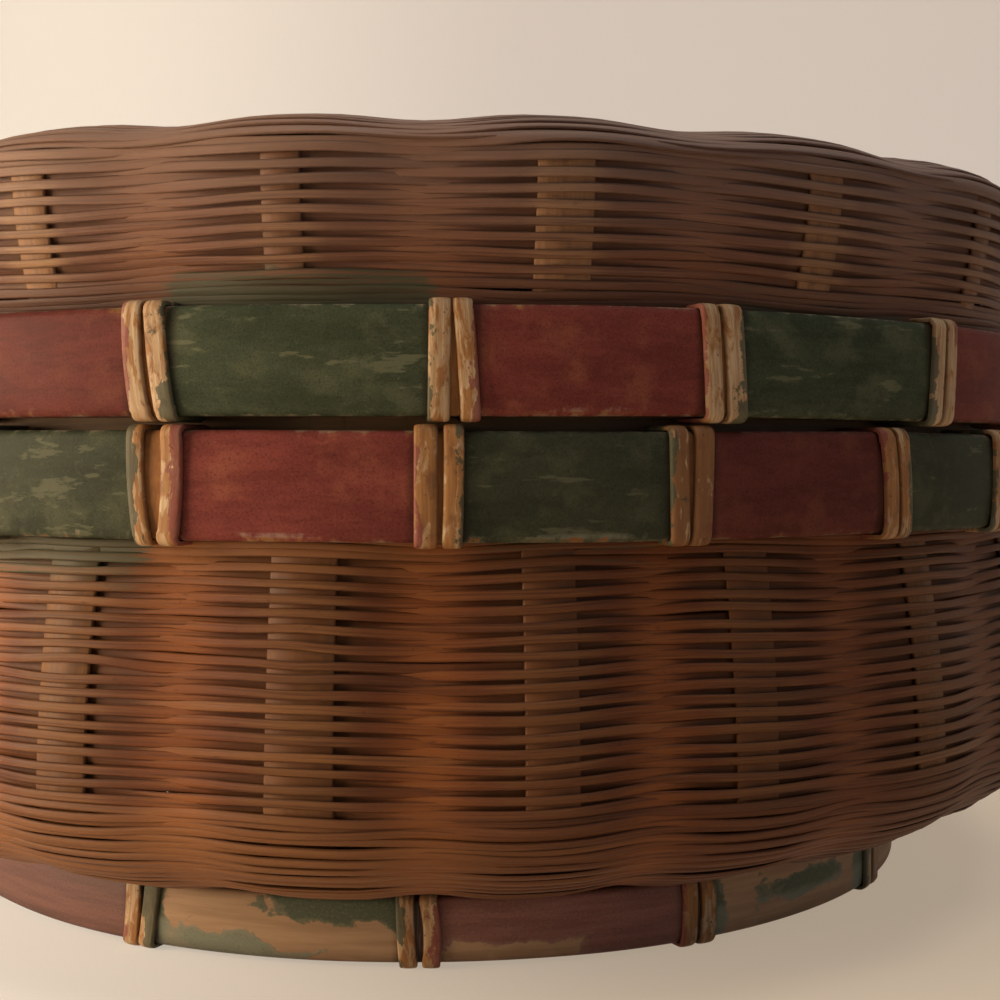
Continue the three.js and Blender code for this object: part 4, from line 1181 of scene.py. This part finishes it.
def clothSweep():                                    # the table runs back and curves up behind the basket
    back, bend = cloth["back"], cloth["bend"]
    line = [(cloth["front"], 0.0), (cloth["flat"], 0.0)]
    for turn in np.linspace(0.1, math.pi / 2, 14):
        line.append((back - bend + bend * math.sin(turn), bend - bend * math.cos(turn)))
    line.append((back, cloth["top"]))
    corners = [(x, y, z) for y, z in line for x in (-cloth["half"], cloth["half"])]
    quads = [(2 * i, 2 * i + 1, 2 * i + 3, 2 * i + 2) for i in range(len(line) - 1)]
    mesh = bpy.data.meshes.new("table_cloth")
    mesh.from_pydata(corners, [], quads)
    for polygon in mesh.polygons:
        polygon.use_smooth = True
    mesh.materials.append(clothFinish())
    table = bpy.data.objects.new("table_cloth", mesh)
    bpy.context.scene.collection.objects.link(table)


# Light and camera
studio = {
    "aim": (0, 0, 0.06), "world": (0.96, 0.98, 1.06), "worldStrength": 0.11,
    "lamps": {
        "window_light": {"place": (-0.70, -0.235, 0.19), "size": 0.42, "power": 8.3,
                         "colour": (1.0, 0.825, 0.605)},
        "ceiling_light": {"place": (0.15, -0.05, 1.25), "size": 0.9, "power": 7.6,
                          "colour": (1.0, 0.95, 0.88)},
        "room_light": {"place": (0.85, -0.95, 0.30), "size": 0.8, "power": 0.68,
                       "colour": (0.80, 1.0, 1.36)},
    },
}


def lamp(name, look):
    light = bpy.data.lights.new(name, "AREA")
    light.energy = look["power"]
    light.size = look["size"]
    light.color = look["colour"]
    holder = bpy.data.objects.new(name, light)
    holder.location = look["place"]
    towards = Vector(studio["aim"]) - Vector(look["place"])
    holder.rotation_euler = towards.to_track_quat("-Z", "Y").to_euler()
    bpy.context.scene.collection.objects.link(holder)


def lightRoom():                                     # what reaches the basket from the walls round it
    world = bpy.data.worlds.new("room")
    world.use_nodes = True
    walls = world.node_tree.nodes["Background"].inputs
    walls["Color"].default_value = (*studio["world"], 1.0)
    walls["Strength"].default_value = studio["worldStrength"]
    bpy.context.scene.world = world


viewPoint = {"place": (0.0, -0.3294, 0.07895), "right": 2.43, "down": 1.89, "roll": 0.12, "lens": 56.48}


def aimCamera(look):
    lens = bpy.data.cameras.new("photo_camera")
    lens.lens = look["lens"]
    lens.sensor_width = 36.0
    lens.sensor_fit = "HORIZONTAL"
    lens.clip_start = 0.01
    yaw, pitch, roll = (math.radians(look[key]) for key in ("right", "down", "roll"))
    forward = Vector((math.sin(yaw) * math.cos(pitch), math.cos(yaw) * math.cos(pitch), -math.sin(pitch)))
    right = forward.cross(Vector((0, 0, 1))).normalized()
    above = right.cross(forward)
    tilted = right * math.cos(roll) + above * math.sin(roll)
    above = tilted.cross(forward)
    camera = bpy.data.objects.new("photo_camera", lens)
    turned = Matrix((tilted, above, -forward)).transposed().to_4x4()
    camera.matrix_world = Matrix.Translation(look["place"]) @ turned
    bpy.context.scene.collection.objects.link(camera)
    bpy.context.scene.camera = camera


clothSweep()
for name, look in studio["lamps"].items():
    lamp(name, look)
aimCamera(viewPoint)
lightRoom()
bpy.context.scene.view_settings.view_transform = "Standard"
print("table, light and camera set")

bpy.context.view_layer.update()
